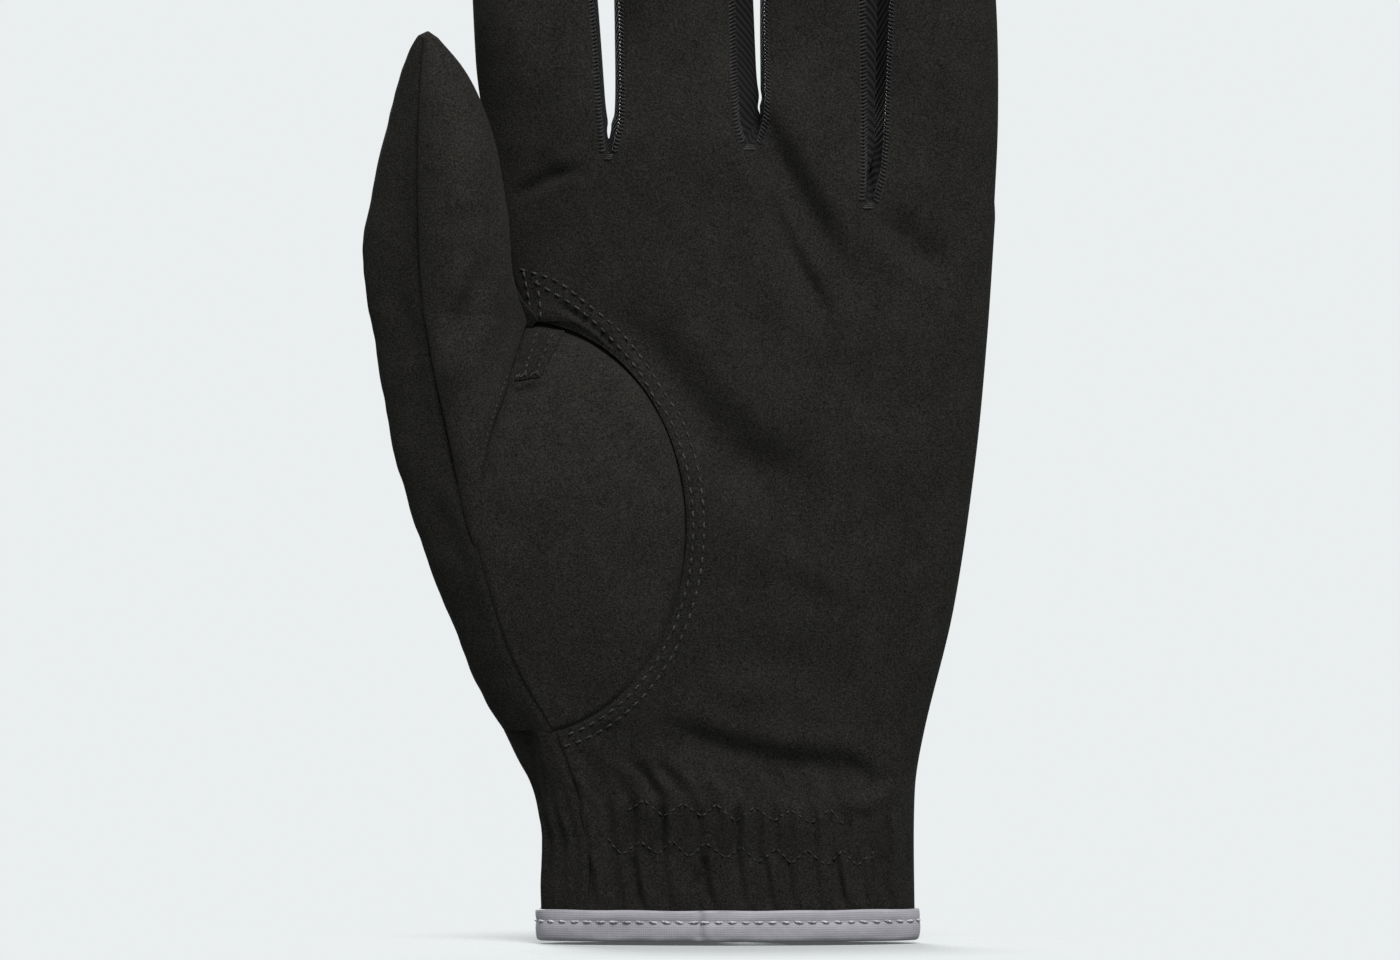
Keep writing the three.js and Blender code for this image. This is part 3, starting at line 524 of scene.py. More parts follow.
@dataclass(frozen=True)
class HandForm:
    """The hand's sheet between cuff, thumb and knuckles.

    Levels climb it in steps: 0 to 4 for the wrist, 4 to 14 along the oval seam in front and the thumb's seam
    behind, 14 to 17 along the index finger's side.
    """

    cloth: float = 0.9
    cuff_edge: float = 1.6
    oval_x: float = -37.0
    oval_z: float = 75.0
    oval_radius_x: float = 29.5
    oval_radius_z: float = 37.5
    oval_start: float = math.radians(-80.0)
    oval_end: float = math.radians(90.0)
    wrist_top: float = 4.0
    oval_top_level: float = 14.0
    top: float = 17.0
    index_root: Pair = (-44.4, 146.0)
    little_root: Pair = (48.6, 131.0)
    crotches: tuple[Crotch, ...] = (
        Crotch(-21.7, 143.2, 1.6, 3.4, 0.7),
        Crotch(4.0, 144.9, 2.6, 5.0, 0.97, 1.55),
        Crotch(25.5, 134.3, 2.0, 7.5, 0.9),
    )
    finger_columns: int = 36
    crotch_columns: int = 4
    column_crowd: float = 0.6
    row_pitch: float = 0.72
    level_samples: int = 1200
    edge_fade: float = 4.0
    edge_rows: int = 14
    edge_share: float = 0.035
    palm_depth: Profile = Profile(
        (0, 11), (30, 11), (50, 11.5), (76, 12.5), (100, 12.5), (113, 11.5), (125, 11), (146, 10.8)
    )
    back_depth: Profile = Profile((0, 10.5), (60, 10.5), (92, 10.5), (113, 10.2), (125, 10), (146, 9.6))
    palm_left: Profile = Profile(
        (0, -26), (18, -25.7), (29, -28.4), (38, -31.9), (49, -38.4), (58, -42), (69, -45.3), (80, -44.8),
        (91, -43), (101, -39.7), (112.5, -37), (121, -39.6), (133, -42), (146, -44.4),
    )
    palm_left_depth: Profile = Profile(
        (0, -8), (29, -8.5), (49, -9.5), (58, -11), (69, -12.5), (80, -13.5), (91, -12), (101, -8.5),
        (112.5, -3.5), (121, -1), (133, 0), (146, 0),
    )
    little_side: Profile = Profile(
        (0, 34), (27, 34), (38, 35.7), (60, 41), (87, 45), (110, 47.2), (131, 48.6)
    )
    tilt_start: float = 38.0
    thumb_blend: Pair = (8.0, 9.0)

    def above_thumb(self, z: Array) -> Array:
        """Rise from 0 below the thumb's crotch to 1 above it."""
        crotch = self.oval_z + self.oval_radius_z
        return smoothstep(z, crotch - self.thumb_blend[0], crotch + self.thumb_blend[1])

    def palm_y(self, x: Array, z: Array) -> Array:
        """Depth of the bare palm sheet at (x, z).

        Args:
            x: places across the glove.
            z: places up the glove.

        Returns:
            The sheet's y at each place.
        """
        left = self.palm_left(z)
        fall = (self.index_root[1] - self.little_root[1]) / (self.little_root[0] - self.index_root[0])
        tilt = fall * np.maximum(x - left, 0.0) * smoothstep(z, self.tilt_start, self.little_root[1])
        level = np.clip(z + tilt, 0.0, self.index_root[1])
        right = self.little_side(np.minimum(z, self.little_root[1]))
        share = np.clip((x - left) / (right - left), 0.0, 1.0)
        power = lerp(1.0, 0.6, self.above_thumb(level))
        edge = self.palm_left_depth(z) * (1.0 - share) ** self.edge_fade
        return edge - self.palm_depth(level) * arch(share, power, 0.5)

    def on_edge(self, z: Array | float) -> Array:
        """Points on the thumb-side edge of the palm sheet."""
        z = np.asarray(z, float)
        return np.stack([self.palm_left(z), self.palm_left_depth(z), z], axis=-1)

    def oval_point(self, angle: Array | float, outset: float = 0.0) -> Array:
        """Points on the oval seam, or a distance outside it.

        Args:
            angle: angles round the oval's middle.
            outset: distance outside the seam.

        Returns:
            One point for each angle.
        """
        x = self.oval_x + (self.oval_radius_x + outset) * np.cos(angle)
        z = self.oval_z + (self.oval_radius_z + outset) * np.sin(angle)
        return np.stack([x, self.palm_y(x, z), z], axis=-1)

    def oval_angle(self, level: Array) -> Array:
        """Angle on the oval at a level."""
        share = np.clip((level - self.wrist_top) / (self.oval_top_level - self.wrist_top), 0.0, 1.0)
        return lerp(self.oval_start, self.oval_end, share)

    @cached_property
    def wrist_point(self) -> Array:
        """Start of the oval seam, above the cuff."""
        return self.oval_point(self.oval_start)

    @cached_property
    def crotch_point(self) -> Array:
        """End of the oval seam, between thumb and index finger."""
        return self.oval_point(self.oval_end)

    @cached_property
    def wrist_back(self) -> Array:
        """Point on the back of the hand level with the start of the oval."""
        return np.array([-38.0, 5.0, self.wrist_point[2]])

    @cached_property
    def wrist_seam(self) -> SeamLine:
        """Seam at the thumb side of the palm, from the cuff to the oval."""
        corner = (-26.0, -8.0, self.cuff_edge)
        return SeamLine([corner, self.on_edge(17.7), self.on_edge(29.0), self.wrist_point])

    @cached_property
    def wrist_back_seam(self) -> SeamLine:
        """Seam at the thumb side of the back, from the cuff to the thumb."""
        low = (-31.5, 3.5, self.cuff_edge)
        return SeamLine([low, (-31.5, 3.5, 20.0), (-34.0, 4.0, 30.0), self.wrist_back])

    @cached_property
    def thumb_back_seam(self) -> SeamLine:
        """Seam between the thumb and the back of the hand."""
        middle = [
            (-41.5, 6.0, 47.0), (-44.5, 8.0, 60.0), (-45.0, 9.0, 76.0), (-43.0, 7.5, 92.0),
            (-40.0, 4.0, 104.0),
        ]
        return SeamLine([self.wrist_back, *middle, self.crotch_point])

    @cached_property
    def index_side(self) -> SeamLine:
        """Side of the hand from the thumb's crotch to the index finger's root."""
        root = (self.index_root[0], 0.0, self.index_root[1])
        return SeamLine([self.crotch_point, self.on_edge(121.0), self.on_edge(133.0), root])

    def _by_level(self, level: Array, wrist: Array, thumb: Array, index: Array) -> Array:
        """Picks the line that belongs to each level."""
        lower = np.where((level < self.wrist_top)[:, None], wrist, thumb)
        return np.where((level < self.oval_top_level)[:, None], lower, index)

    def front_left(self, level: Array) -> Array:
        """Thumb-side edge of the palm panel at each level.

        Args:
            level: levels of the rows.

        Returns:
            One point for each level.
        """
        wrist = self.wrist_seam.at(level / self.wrist_top)
        index = self.index_side.at((level - self.oval_top_level) / (self.top - self.oval_top_level))
        return self._by_level(level, wrist, self.oval_point(self.oval_angle(level)), index)

    def back_left(self, level: Array) -> Array:
        """Thumb-side edge of the back panel at each level.

        Args:
            level: levels of the rows.

        Returns:
            One point for each level.
        """
        wrist = self.wrist_back_seam.at(level / self.wrist_top)
        thumb_share = (level - self.wrist_top) / (self.oval_top_level - self.wrist_top)
        index = self.index_side.at((level - self.oval_top_level) / (self.top - self.oval_top_level))
        return self._by_level(level, wrist, self.thumb_back_seam.at(thumb_share), index)

    @cached_property
    def little_heights(self) -> Profile:
        """Height of the little-finger edge over the levels, rising evenly past the turn of the oval."""
        levels = np.arange(self.top + 1.0)
        z = self.front_left(levels)[:, 2]
        start = self.wrist_point[2]
        above = np.maximum(z - start, 0.0) / (self.index_root[1] - start)
        heights = np.minimum(z, start) + above * (self.little_root[1] - start)
        return Profile(*zip(levels, heights))

    def right(self, level: Array) -> Array:
        """Little-finger edge of both panels at each level."""
        height = self.little_heights(level)
        return np.stack([self.little_side(height), np.zeros_like(height), height], axis=-1)

    @cached_property
    def finger_roots(self) -> list[tuple[Pair, Pair]]:
        """The two ends (x, z) of each finger's root line, from index to little finger."""
        ends = [self.index_root]
        for crotch in self.crotches:
            ends += [(crotch.x - crotch.width / 2, crotch.z), (crotch.x + crotch.width / 2, crotch.z)]
        ends.append(self.little_root)
        return [(ends[2 * i], ends[2 * i + 1]) for i in range(4)]

    @cached_property
    def knuckle_line(self) -> Array:
        """Points (x, z) of the knuckle line, one for each column of the hand."""
        points = []
        for finger, (left, right) in enumerate(self.finger_roots):
            shares = crowded(self.finger_columns, self.column_crowd)[:, None]
            points.append(lerp(np.array(left), np.array(right), shares))
            if finger < len(self.crotches):
                crotch = self.crotches[finger]
                swing = np.linspace(-1.0, 1.0, self.crotch_columns + 1)[1:-1]
                drop = crotch.z - crotch.sag * (1.0 - swing**2)
                points.append(np.stack([crotch.x + swing * crotch.width / 2, drop], axis=-1))
        return np.vstack(points)

    def finger_slice(self, finger: int) -> slice:
        """Columns of the hand that run on into a finger."""
        stride = self.finger_columns + self.crotch_columns
        return slice(finger * stride, finger * stride + self.finger_columns + 1)

    @cached_property
    def shares(self) -> Array:
        """Share of the hand's width at each column."""
        return (self.knuckle_line[:, 0] - self.index_root[0]) / (self.little_root[0] - self.index_root[0])

    @cached_property
    def levels(self) -> Array:
        """Levels of the rows, about a row pitch apart along the thumb-side edge."""
        return rows_between(self.front_left, 0.0, self.top, self.row_pitch, self.level_samples)

    def net(self, lefts: Array) -> Array:
        """Rows between a thumb-side edge and the little-finger edge, drawn out towards the finger crotches.

        Args:
            lefts: the thumb-side end of each row.

        Returns:
            Rows and columns of points.
        """
        shares = self.shares[None, :]
        rights = self.right(self.levels)
        points = lerp(lefts[:, None, :], rights[:, None, :], shares[..., None])
        level_out = smoothstep(self.levels, self.oval_top_level - 5.0, self.oval_top_level - 1.0)
        level_out = level_out * (1.0 - smoothstep(self.levels, self.oval_top_level, self.top))
        fall = lerp(shares, shares**3, level_out[:, None])
        points[..., 2] = lerp(lefts[:, None, 2], rights[:, None, 2], fall)
        rise = smoothstep(self.levels, self.oval_top_level, self.top)
        lift = self.knuckle_line[:, 1] - lerp(self.index_root[1], self.little_root[1], self.shares)
        points[..., 2] += rise[:, None] * lift[None, :]
        return points

    def palm_net(self) -> Array:
        """Rows of the bare palm panel.

        Returns:
            Rows and columns of points.
        """
        points = self.net(self.front_left(self.levels))
        points[..., 1] = self.palm_y(points[..., 0], points[..., 2])
        return points

    def back_net(self) -> Array:
        """Rows of the bare back panel.

        Returns:
            Rows and columns of points.
        """
        lefts = self.back_left(self.levels)
        points = self.net(lefts)
        shares = self.shares[None, :]
        power = lerp(0.8, 0.5, self.above_thumb(lefts[:, 2]))[:, None]
        swell = self.back_depth(lefts[:, 2])[:, None] * arch(shares, power, 0.5)
        soft = smoothed(lefts[:, 1], self.edge_rows)[:, None]
        edge = lerp(soft, lefts[:, 1:2], bell(shares, self.edge_share))
        points[..., 1] = edge * (1.0 - shares) ** self.edge_fade + swell
        return points


FORM = HandForm()


Colour = tuple[float, float, float]
Socket = bpy.types.NodeSocket


class Wave(Enum):
    """Run of a set of ribs over the flat cloth."""

    ACROSS = "X"
    ALONG = "Y"
    DIAGONAL = "DIAGONAL"


class FinishNodes:
    """Node tree of one finish, with short calls for the nodes that cloth needs."""

    def __init__(self, name: str) -> None:
        """Starts a material with a bare shader.

        Args:
            name: the finish's name.
        """
        self.material = bpy.data.materials.new(name)
        self.material.use_nodes = True
        self.tree = self.material.node_tree
        self.tree.nodes.clear()
        output = self.tree.nodes.new("ShaderNodeOutputMaterial")
        self.shader = self.tree.nodes.new("ShaderNodeBsdfPrincipled")
        self.tree.links.new(self.shader.outputs["BSDF"], output.inputs["Surface"])

    def surface(self, roughness: float, specular: float, sheen: float, sheen_tint: Colour) -> None:
        """Sets the shader's even values.

        Args:
            roughness: roughness of the surface.
            specular: strength of its gloss.
            sheen: strength of the fibres' sheen.
            sheen_tint: colour of the sheen.
        """
        self.shader.inputs["Roughness"].default_value = roughness
        self.shader.inputs["Specular IOR Level"].default_value = specular
        self.shader.inputs["Sheen Weight"].default_value = sheen
        self.shader.inputs["Sheen Roughness"].default_value = 0.5
        self.shader.inputs["Sheen Tint"].default_value = (*sheen_tint, 1.0)

    def places(self) -> Socket:
        """Places in the piece's own frame, in metres."""
        return self.tree.nodes.new("ShaderNodeTexCoord").outputs["Object"]

    def flat(self) -> Socket:
        """Flat places on the cloth, in millimetres.

        Returns:
            The places of the shaded points.
        """
        node = self.tree.nodes.new("ShaderNodeUVMap")
        node.uv_map = "flat"
        return node.outputs["UV"]

    def noise(self, size: float, detail: float = 2.0, stretch: Sequence[float] = (1.0, 1.0, 1.0)) -> Socket:
        """Soft noise in space.

        Args:
            size: usual size of a spot in millimetres.
            detail: how many finer layers it has.
            stretch: how many times finer it is along each axis.

        Returns:
            Its values, about 0.5 on average.
        """
        mapping = self.tree.nodes.new("ShaderNodeMapping")
        mapping.inputs["Scale"].default_value = stretch
        self.tree.links.new(self.places(), mapping.inputs["Vector"])
        node = self.tree.nodes.new("ShaderNodeTexNoise")
        node.inputs["Scale"].default_value = 1.0 / (size * MILLIMETRE)
        node.inputs["Detail"].default_value = detail
        node.inputs["Roughness"].default_value = 0.6
        self.tree.links.new(mapping.outputs["Vector"], node.inputs["Vector"])
        return node.outputs["Fac"]

    def ribs(self, pitch: float, run: Wave, wander: float = 0.0) -> Socket:
        """Rounded ribs over the flat cloth.

        Args:
            pitch: distance between two ribs in millimetres.
            run: which way they follow each other.
            wander: how far they stray.

        Returns:
            Their height from 0 to 1.
        """
        node = self.tree.nodes.new("ShaderNodeTexWave")
        node.bands_direction = run.value
        node.inputs["Scale"].default_value = math.pi / 10.0 / pitch
        node.inputs["Distortion"].default_value = wander
        self.tree.links.new(self.flat(), node.inputs["Vector"])
        return node.outputs["Fac"]

    def math(self, operation: str, first: Socket, second: Socket | float) -> Socket:
        """Joins two patterns, or a pattern and a number, by an operation.

        Args:
            operation: name of the operation.
            first: the first pattern.
            second: the second pattern, or a number.

        Returns:
            The joined pattern.
        """
        node = self.tree.nodes.new("ShaderNodeMath")
        node.operation = operation
        self.tree.links.new(first, node.inputs[0])
        if isinstance(second, float):
            node.inputs[1].default_value = second
        else:
            self.tree.links.new(second, node.inputs[1])
        return node.outputs["Value"]

    def blend(self, first: Socket, second: Socket, share: float) -> Socket:
        """Mix of two patterns with a share of the second."""
        kept = self.math("MULTIPLY", first, 1.0 - share)
        return self.math("ADD", kept, self.math("MULTIPLY", second, share))

    def ramp(self, pattern: Socket, stops: Sequence[tuple[float, Colour]]) -> Socket:
        """Colours laid over a pattern's values.

        Args:
            pattern: values from 0 to 1.
            stops: rising values with their colours.

        Returns:
            The colours.
        """
        node = self.tree.nodes.new("ShaderNodeValToRGB")
        while len(node.color_ramp.elements) < len(stops):
            node.color_ramp.elements.new(0.5)
        for element, (place, colour) in zip(node.color_ramp.elements, stops):
            element.position = place
            element.color = (*colour, 1.0)
        self.tree.links.new(pattern, node.inputs["Fac"])
        return node.outputs["Color"]

    def colour(self, socket: Socket) -> None:
        """Uses a pattern as the base colour."""
        self.tree.links.new(socket, self.shader.inputs["Base Color"])

    def bump(
        self, pattern: Socket, depth: float, strength: float = 1.0, over: Socket | None = None
    ) -> Socket:
        """Relief from a pattern.

        Args:
            pattern: heights from 0 to 1.
            depth: height of 1 in millimetres.
            strength: share of the relief that shows.
            over: relief that this one lies on.

        Returns:
            The normals.
        """
        node = self.tree.nodes.new("ShaderNodeBump")
        node.inputs["Distance"].default_value = depth * MILLIMETRE
        node.inputs["Strength"].default_value = strength
        self.tree.links.new(pattern, node.inputs["Height"])
        if over is not None:
            self.tree.links.new(over, node.inputs["Normal"])
        return node.outputs["Normal"]

    def relief(self, socket: Socket) -> bpy.types.Material:
        """Uses normals as the surface's relief and returns the finished material."""
        self.tree.links.new(socket, self.shader.inputs["Normal"])
        return self.material


def toned(colour: Colour, by: float) -> Colour:
    """A colour made lighter or darker by a factor."""
    return (colour[0] * by, colour[1] * by, colour[2] * by)


class Slot(Enum):
    """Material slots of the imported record."""

    SUEDE = "suede"
    STRETCH = "stretch_cloth"
    TAPE = "binding_tape"
    DARK_THREAD = "dark_thread"
    GREY_THREAD = "light_thread"
    HOOK_AND_LOOP = "hook_and_loop"
    ELASTIC = "elastic"


@dataclass(frozen=True)
class Suede:
    """Microfibre suede: a fine matt nap with lighter fibre ends and faint brushed patches."""

    name: str
    base: Colour
    contrast: float = 0.85
    grain: float = 0.3
    brushed: float = 5.0
    nap: float = 0.16
    slot: Slot = Slot.SUEDE

    @cached_property
    def material(self) -> bpy.types.Material:
        """The suede as a node material."""
        nodes = FinishNodes(self.name)
        nodes.surface(roughness=0.95, specular=0.02, sheen=0.008, sheen_tint=(0.9, 0.92, 0.95))
        grain = nodes.noise(self.grain, 3.0)
        patches = nodes.noise(self.brushed, 3.0, (1.0, 1.0, 0.6))
        mixed = nodes.blend(grain, patches, 0.14)
        dark = toned(self.base, 1.0 - self.contrast)
        light = toned(self.base, 1.0 + 1.5 * self.contrast)
        nodes.colour(nodes.ramp(mixed, [(0.30, dark), (0.5, self.base), (0.72, light)]))
        fine = nodes.bump(nodes.noise(self.grain * 0.8, 2.0), self.nap)
        return nodes.relief(nodes.bump(patches, 0.25, 0.5, fine))


@dataclass(frozen=True)
class StretchKnit:
    """Dark stretch cloth of the side walls, with diagonal ribs."""

    name: str
    base: Colour
    rib: float = 0.8
    slot: Slot = Slot.STRETCH

    @cached_property
    def material(self) -> bpy.types.Material:
        """The ribbed cloth as a node material."""
        nodes = FinishNodes(self.name)
        nodes.surface(roughness=0.85, specular=0.04, sheen=0.008, sheen_tint=(0.9, 0.9, 0.95))
        ribs = nodes.ribs(self.rib, Wave.DIAGONAL, 0.4)
        fibre = nodes.noise(0.25, 2.0)
        mixed = nodes.blend(ribs, fibre, 0.35)
        nodes.colour(nodes.ramp(mixed, [(0.15, toned(self.base, 0.35)), (0.8, toned(self.base, 1.5))]))
        fine = nodes.bump(fibre, 0.06)
        return nodes.relief(nodes.bump(ribs, 0.22, 1.0, fine))


@dataclass(frozen=True)
class WovenTape:
    """Smooth grey binding tape with a faint fine weave and rubbed patches."""

    name: str
    base: Colour
    weave: float = 0.42
    slot: Slot = Slot.TAPE

    @cached_property
    def material(self) -> bpy.types.Material:
        """The tape as a node material."""
        nodes = FinishNodes(self.name)
        nodes.surface(roughness=0.62, specular=0.22, sheen=0.05, sheen_tint=(0.95, 0.95, 1.0))
        warp = nodes.ribs(self.weave, Wave.ACROSS, 0.3)
        weft = nodes.ribs(self.weave, Wave.ALONG, 0.3)
        weave = nodes.math("MAXIMUM", warp, weft)
        rubbed = nodes.noise(2.4, 3.0)
        mixed = nodes.blend(rubbed, weave, 0.3)
        nodes.colour(nodes.ramp(mixed, [(0.25, toned(self.base, 0.86)), (0.75, toned(self.base, 1.12))]))
        fine = nodes.bump(weave, 0.03)
        return nodes.relief(nodes.bump(nodes.noise(1.2, 3.0), 0.12, 0.6, fine))


@dataclass(frozen=True)
class TwistedThread:
    """Sewing thread with a plied twist and a few lighter fibres; its lightest colour (shine) is a painted
    highlight in specks along it.
    """

    name: str
    base: Colour
    twist: float = 0.3
    speck: float = 0.9
    # How much lighter the thread's painted highlight is than its base colour.
    shine: float = 3.0
    slot: Slot = Slot.DARK_THREAD

    @cached_property
    def material(self) -> bpy.types.Material:
        """The thread as a node material."""
        nodes = FinishNodes(self.name)
        nodes.surface(roughness=0.6, specular=0.1, sheen=0.03, sheen_tint=(0.9, 0.9, 0.9))
        plies = nodes.ribs(self.twist, Wave.DIAGONAL)
        fibres = nodes.noise(0.3, 2.0)
        mixed = nodes.blend(nodes.blend(plies, fibres, 0.5), nodes.noise(self.speck, 1.0), 0.6)
        # The last stop is the painted highlight on the thread's specks.
        stops = [(0.3, toned(self.base, 0.4)), (0.52, self.base), (0.66, toned(self.base, self.shine))]
        nodes.colour(nodes.ramp(mixed, stops))
        return nodes.relief(nodes.bump(plies, 0.06))


@dataclass(frozen=True)
class PileTape:
    """Fastening tape covered in small hooks or loops."""

    name: str
    base: Colour
    spot: float
    slot: Slot = Slot.HOOK_AND_LOOP

    @cached_property
    def material(self) -> bpy.types.Material:
        """The pile as a node material."""
        nodes = FinishNodes(self.name)
        nodes.surface(roughness=0.7, specular=0.08, sheen=0.02, sheen_tint=(0.9, 0.9, 0.9))
        node = nodes.tree.nodes.new("ShaderNodeTexVoronoi")
        node.inputs["Scale"].default_value = 1.0 / self.spot
        nodes.tree.links.new(nodes.flat(), node.inputs["Vector"])
        spots = node.outputs["Distance"]
        mixed = nodes.blend(spots, nodes.noise(0.3, 2.0), 0.4)
        nodes.colour(nodes.ramp(mixed, [(0.1, toned(self.base, 1.7)), (0.7, toned(self.base, 0.45))]))
        return nodes.relief(nodes.bump(nodes.math("SUBTRACT", nodes.noise(0.2, 2.0), spots), 0.35))


@dataclass(frozen=True)
class ElasticBand:
    """Ribbed elastic sewn inside the wrist."""

    name: str
    base: Colour
    rib: float = 1.1
    slot: Slot = Slot.ELASTIC

    @cached_property
    def material(self) -> bpy.types.Material:
        """The elastic as a node material."""
        nodes = FinishNodes(self.name)
        nodes.surface(roughness=0.75, specular=0.06, sheen=0.02, sheen_tint=(0.9, 0.9, 0.9))
        ribs = nodes.ribs(self.rib, Wave.ALONG)
        strands = nodes.ribs(0.5, Wave.ACROSS, 0.8)
        mixed = nodes.blend(ribs, strands, 0.4)
        nodes.colour(nodes.ramp(mixed, [(0.1, toned(self.base, 0.5)), (0.9, toned(self.base, 1.5))]))
        return nodes.relief(nodes.bump(mixed, 0.2))


class Finishes:
    """The glove's finishes, each with the record's slot that it belongs to."""

    SUEDE = Suede("microfibre_suede", (0.0062, 0.0059, 0.0053))
    # A lighter copy of the same suede, in which the brighter light on the thenar and the thumb's front is
    # painted.
    LIT_THUMB_SUEDE = Suede("microfibre_suede_thumb_painted_light", (0.0073, 0.0069, 0.0062))
    STRETCH = StretchKnit("stretch_cloth", (0.0036, 0.0035, 0.0037))
    TAPE = WovenTape("grey_binding_tape", (0.125, 0.1225, 0.1335))
    DARK_THREAD = TwistedThread("dark_thread", (0.0088, 0.0086, 0.0083))
    GREY_THREAD = TwistedThread("grey_thread", (0.19, 0.188, 0.2), shine=1.5, slot=Slot.GREY_THREAD)
    OVERCAST = TwistedThread("overcast_thread", (0.0056, 0.0055, 0.0054), shine=2.0)
    BAR_THREAD = TwistedThread("bar_thread", (0.0078, 0.0077, 0.0075), shine=2.6)
    FINE_THREAD = TwistedThread("fine_thread", (0.0074, 0.0072, 0.0069), shine=2.4)
    HOOKS = PileTape("hook_tape", (0.008, 0.008, 0.0084), 0.9)
    LOOPS = PileTape("loop_tape", (0.0064, 0.0064, 0.0068), 0.6)
    ELASTIC = ElasticBand("ribbed_elastic", (0.009, 0.009, 0.0094))


Finish = Suede | StretchKnit | WovenTape | TwistedThread | PileTape | ElasticBand


def dress(
    made: Piece,
    finish: Finish,
    nodes: Sequence[str] = (),
    cut: Cut | None = None,
    body: str | None = None,
) -> None:
    """Gives a piece its finish, hides the solids that it stands for and hangs it on its body.

    Args:
        made: the piece.
        finish: its finish.
        nodes: names of the solids that it stands for.
        cut: its flat cut, where it is cloth.
        body: the body that it rides on, where it doesn't bend between two.
    """
    made.data.materials.append(finish.material)
    if nodes:
        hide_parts(*nodes)
    if cut is not None:
        cut.declare(made)
    if body is not None:
        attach(made, body)
    log.info("%s: %d faces", made.name, len(made.data.polygons))


def at_distance(values: Array, distance: float, points: Array | None = None) -> Array:
    """Values of a net at a distance from the first column, measured along each row.

    Args:
        values: rows and columns of points or directions.
        distance: the distance from the row's start.
        points: the net's points where the values aren't the points.

    Returns:
        One value for each row.
    """
    run, _ = edge_runs(values if points is None else points)
    rows = [
        [np.interp(distance, along, row[:, axis]) for axis in range(3)] for along, row in zip(run, values)
    ]
    return np.array(rows)


def sewn_in(points: Array, normals: Array, left: float, right: float, width: float = 0.9) -> Array:
    """Rolls the two sides of a net down into their seams.

    Args:
        points: rows and columns of the cloth's outer face.
        normals: its outward normals.
        left: how deep the first column goes.
        right: how deep the last column goes.
        width: how far from the seam the roll starts.

    Returns:
        The moved points.
    """
    from_left, from_right = edge_runs(points)
    drop = left * bell(from_left, width) + right * bell(from_right, width)
    return points - normals * drop[..., None]


class Side(Enum):
    """The two cloth sides of the glove."""

    FRONT = "front"
    BACK = "back"

    @property
    def face(self) -> Face:
        """Which way the outer face of a net on this side looks."""
        return Face.ALONG if self is Side.FRONT else Face.AGAINST

    @property
    def outward(self) -> float:
        """Which way along y this side looks."""
        return -1.0 if self is Side.FRONT else 1.0


@dataclass
class KnuckleRow:
    """Last row of a hand panel without its folds, with what the fingers need to carry the folds on."""

    points: Array
    relief: Callable[[Array, Array], Array]
    calm: Array

    def part(self, columns: slice) -> "KnuckleRow":
        """The columns that run on into one finger."""
        return KnuckleRow(self.points[columns], self.relief, self.calm[columns])


def surface_tree(points: Array) -> BVHTree:
    """Search tree of a net's outer face, in millimetres."""
    quads = net_quads(np.arange(points[..., 0].size).reshape(points.shape[:2])).reshape(-1, 4)
    return BVHTree.FromPolygons(points.reshape(-1, 3).tolist(), quads.tolist())


def threads(
    name: str, paths: Array, outward: Array, radius: float, taper: float = 0.45, sides: int = 6
) -> Piece:
    """Many short threads as one piece.

    Args:
        name: the piece's name.
        paths: centre points of each thread, from end to end.
        outward: direction away from the cloth at each thread.
        radius: radius of the thread.
        taper: share of the radius that is left at the ends.
        sides: faces round a thread.

    Returns:
        The new object.
    """
    count, rings, _ = paths.shape
    along = unit(np.gradient(paths, axis=1))
    side = unit(np.cross(along, outward[:, None, :]))
    up = np.cross(side, along)
    turn = np.linspace(0.0, 2 * np.pi, sides, endpoint=False)
    share = np.linspace(0.0, 1.0, rings)
    size = radius * lerp(taper, 1.0, np.sqrt(np.sin(np.pi * share).clip(0.0)))
    round_it = np.cos(turn)[:, None] * side[:, :, None, :] + np.sin(turn)[:, None] * up[:, :, None, :]
    points = paths[:, :, None, :] + size[None, :, None, None] * round_it
    index = np.arange(count * rings * sides).reshape(count, rings, sides)
    following = np.roll(index, -1, axis=2)
    corners = [index[:, :-1], index[:, 1:], following[:, 1:], following[:, :-1]]
    quads = np.stack(corners, axis=-1).reshape(-1, 4)
    caps = np.concatenate([index[:, 0], index[:, -1, ::-1]])
    made = mesh_object(name, points.reshape(-1, 3), [*quads.tolist(), *caps.tolist()])
    run, _ = edge_runs(paths)
    around = np.broadcast_to(turn * radius, (count, rings, sides))
    flat = np.stack([around, np.broadcast_to(run[:, :, None], around.shape)], axis=-1)
    set_flat_places(made, flat.reshape(-1, 2))
    return made


@dataclass(frozen=True)
class Stitch:
    """One kind of stitch: the thread's radius, the rise of its middle and the dive of its ends.

    A row of them also has a pitch, and the share of the pitch that shows as thread.
    """

    radius: float
    rise: float
    dive: float = 0.3
    pitch: float = 0.0
    share: float = 0.0


def stitch_paths(starts: Array, ends: Array, outward: Array, stitch: Stitch, rings: int = 7) -> Array:
    """Centre lines of stitches that come up out of the cloth, run along it and go down again.

    Args:
        starts: where each stitch comes up.
        ends: where it goes down.
        outward: direction away from the cloth at each stitch.
        stitch: its rise and dive.
        rings: points on each line.

    Returns:
        The lines' points.
    """
    share = np.linspace(0.0, 1.0, rings)[None, :, None]
    height = (stitch.rise + stitch.dive) * np.sin(np.pi * share) ** 0.6 - stitch.dive
    return lerp(starts[:, None, :], ends[:, None, :], share) + outward[:, None, :] * height


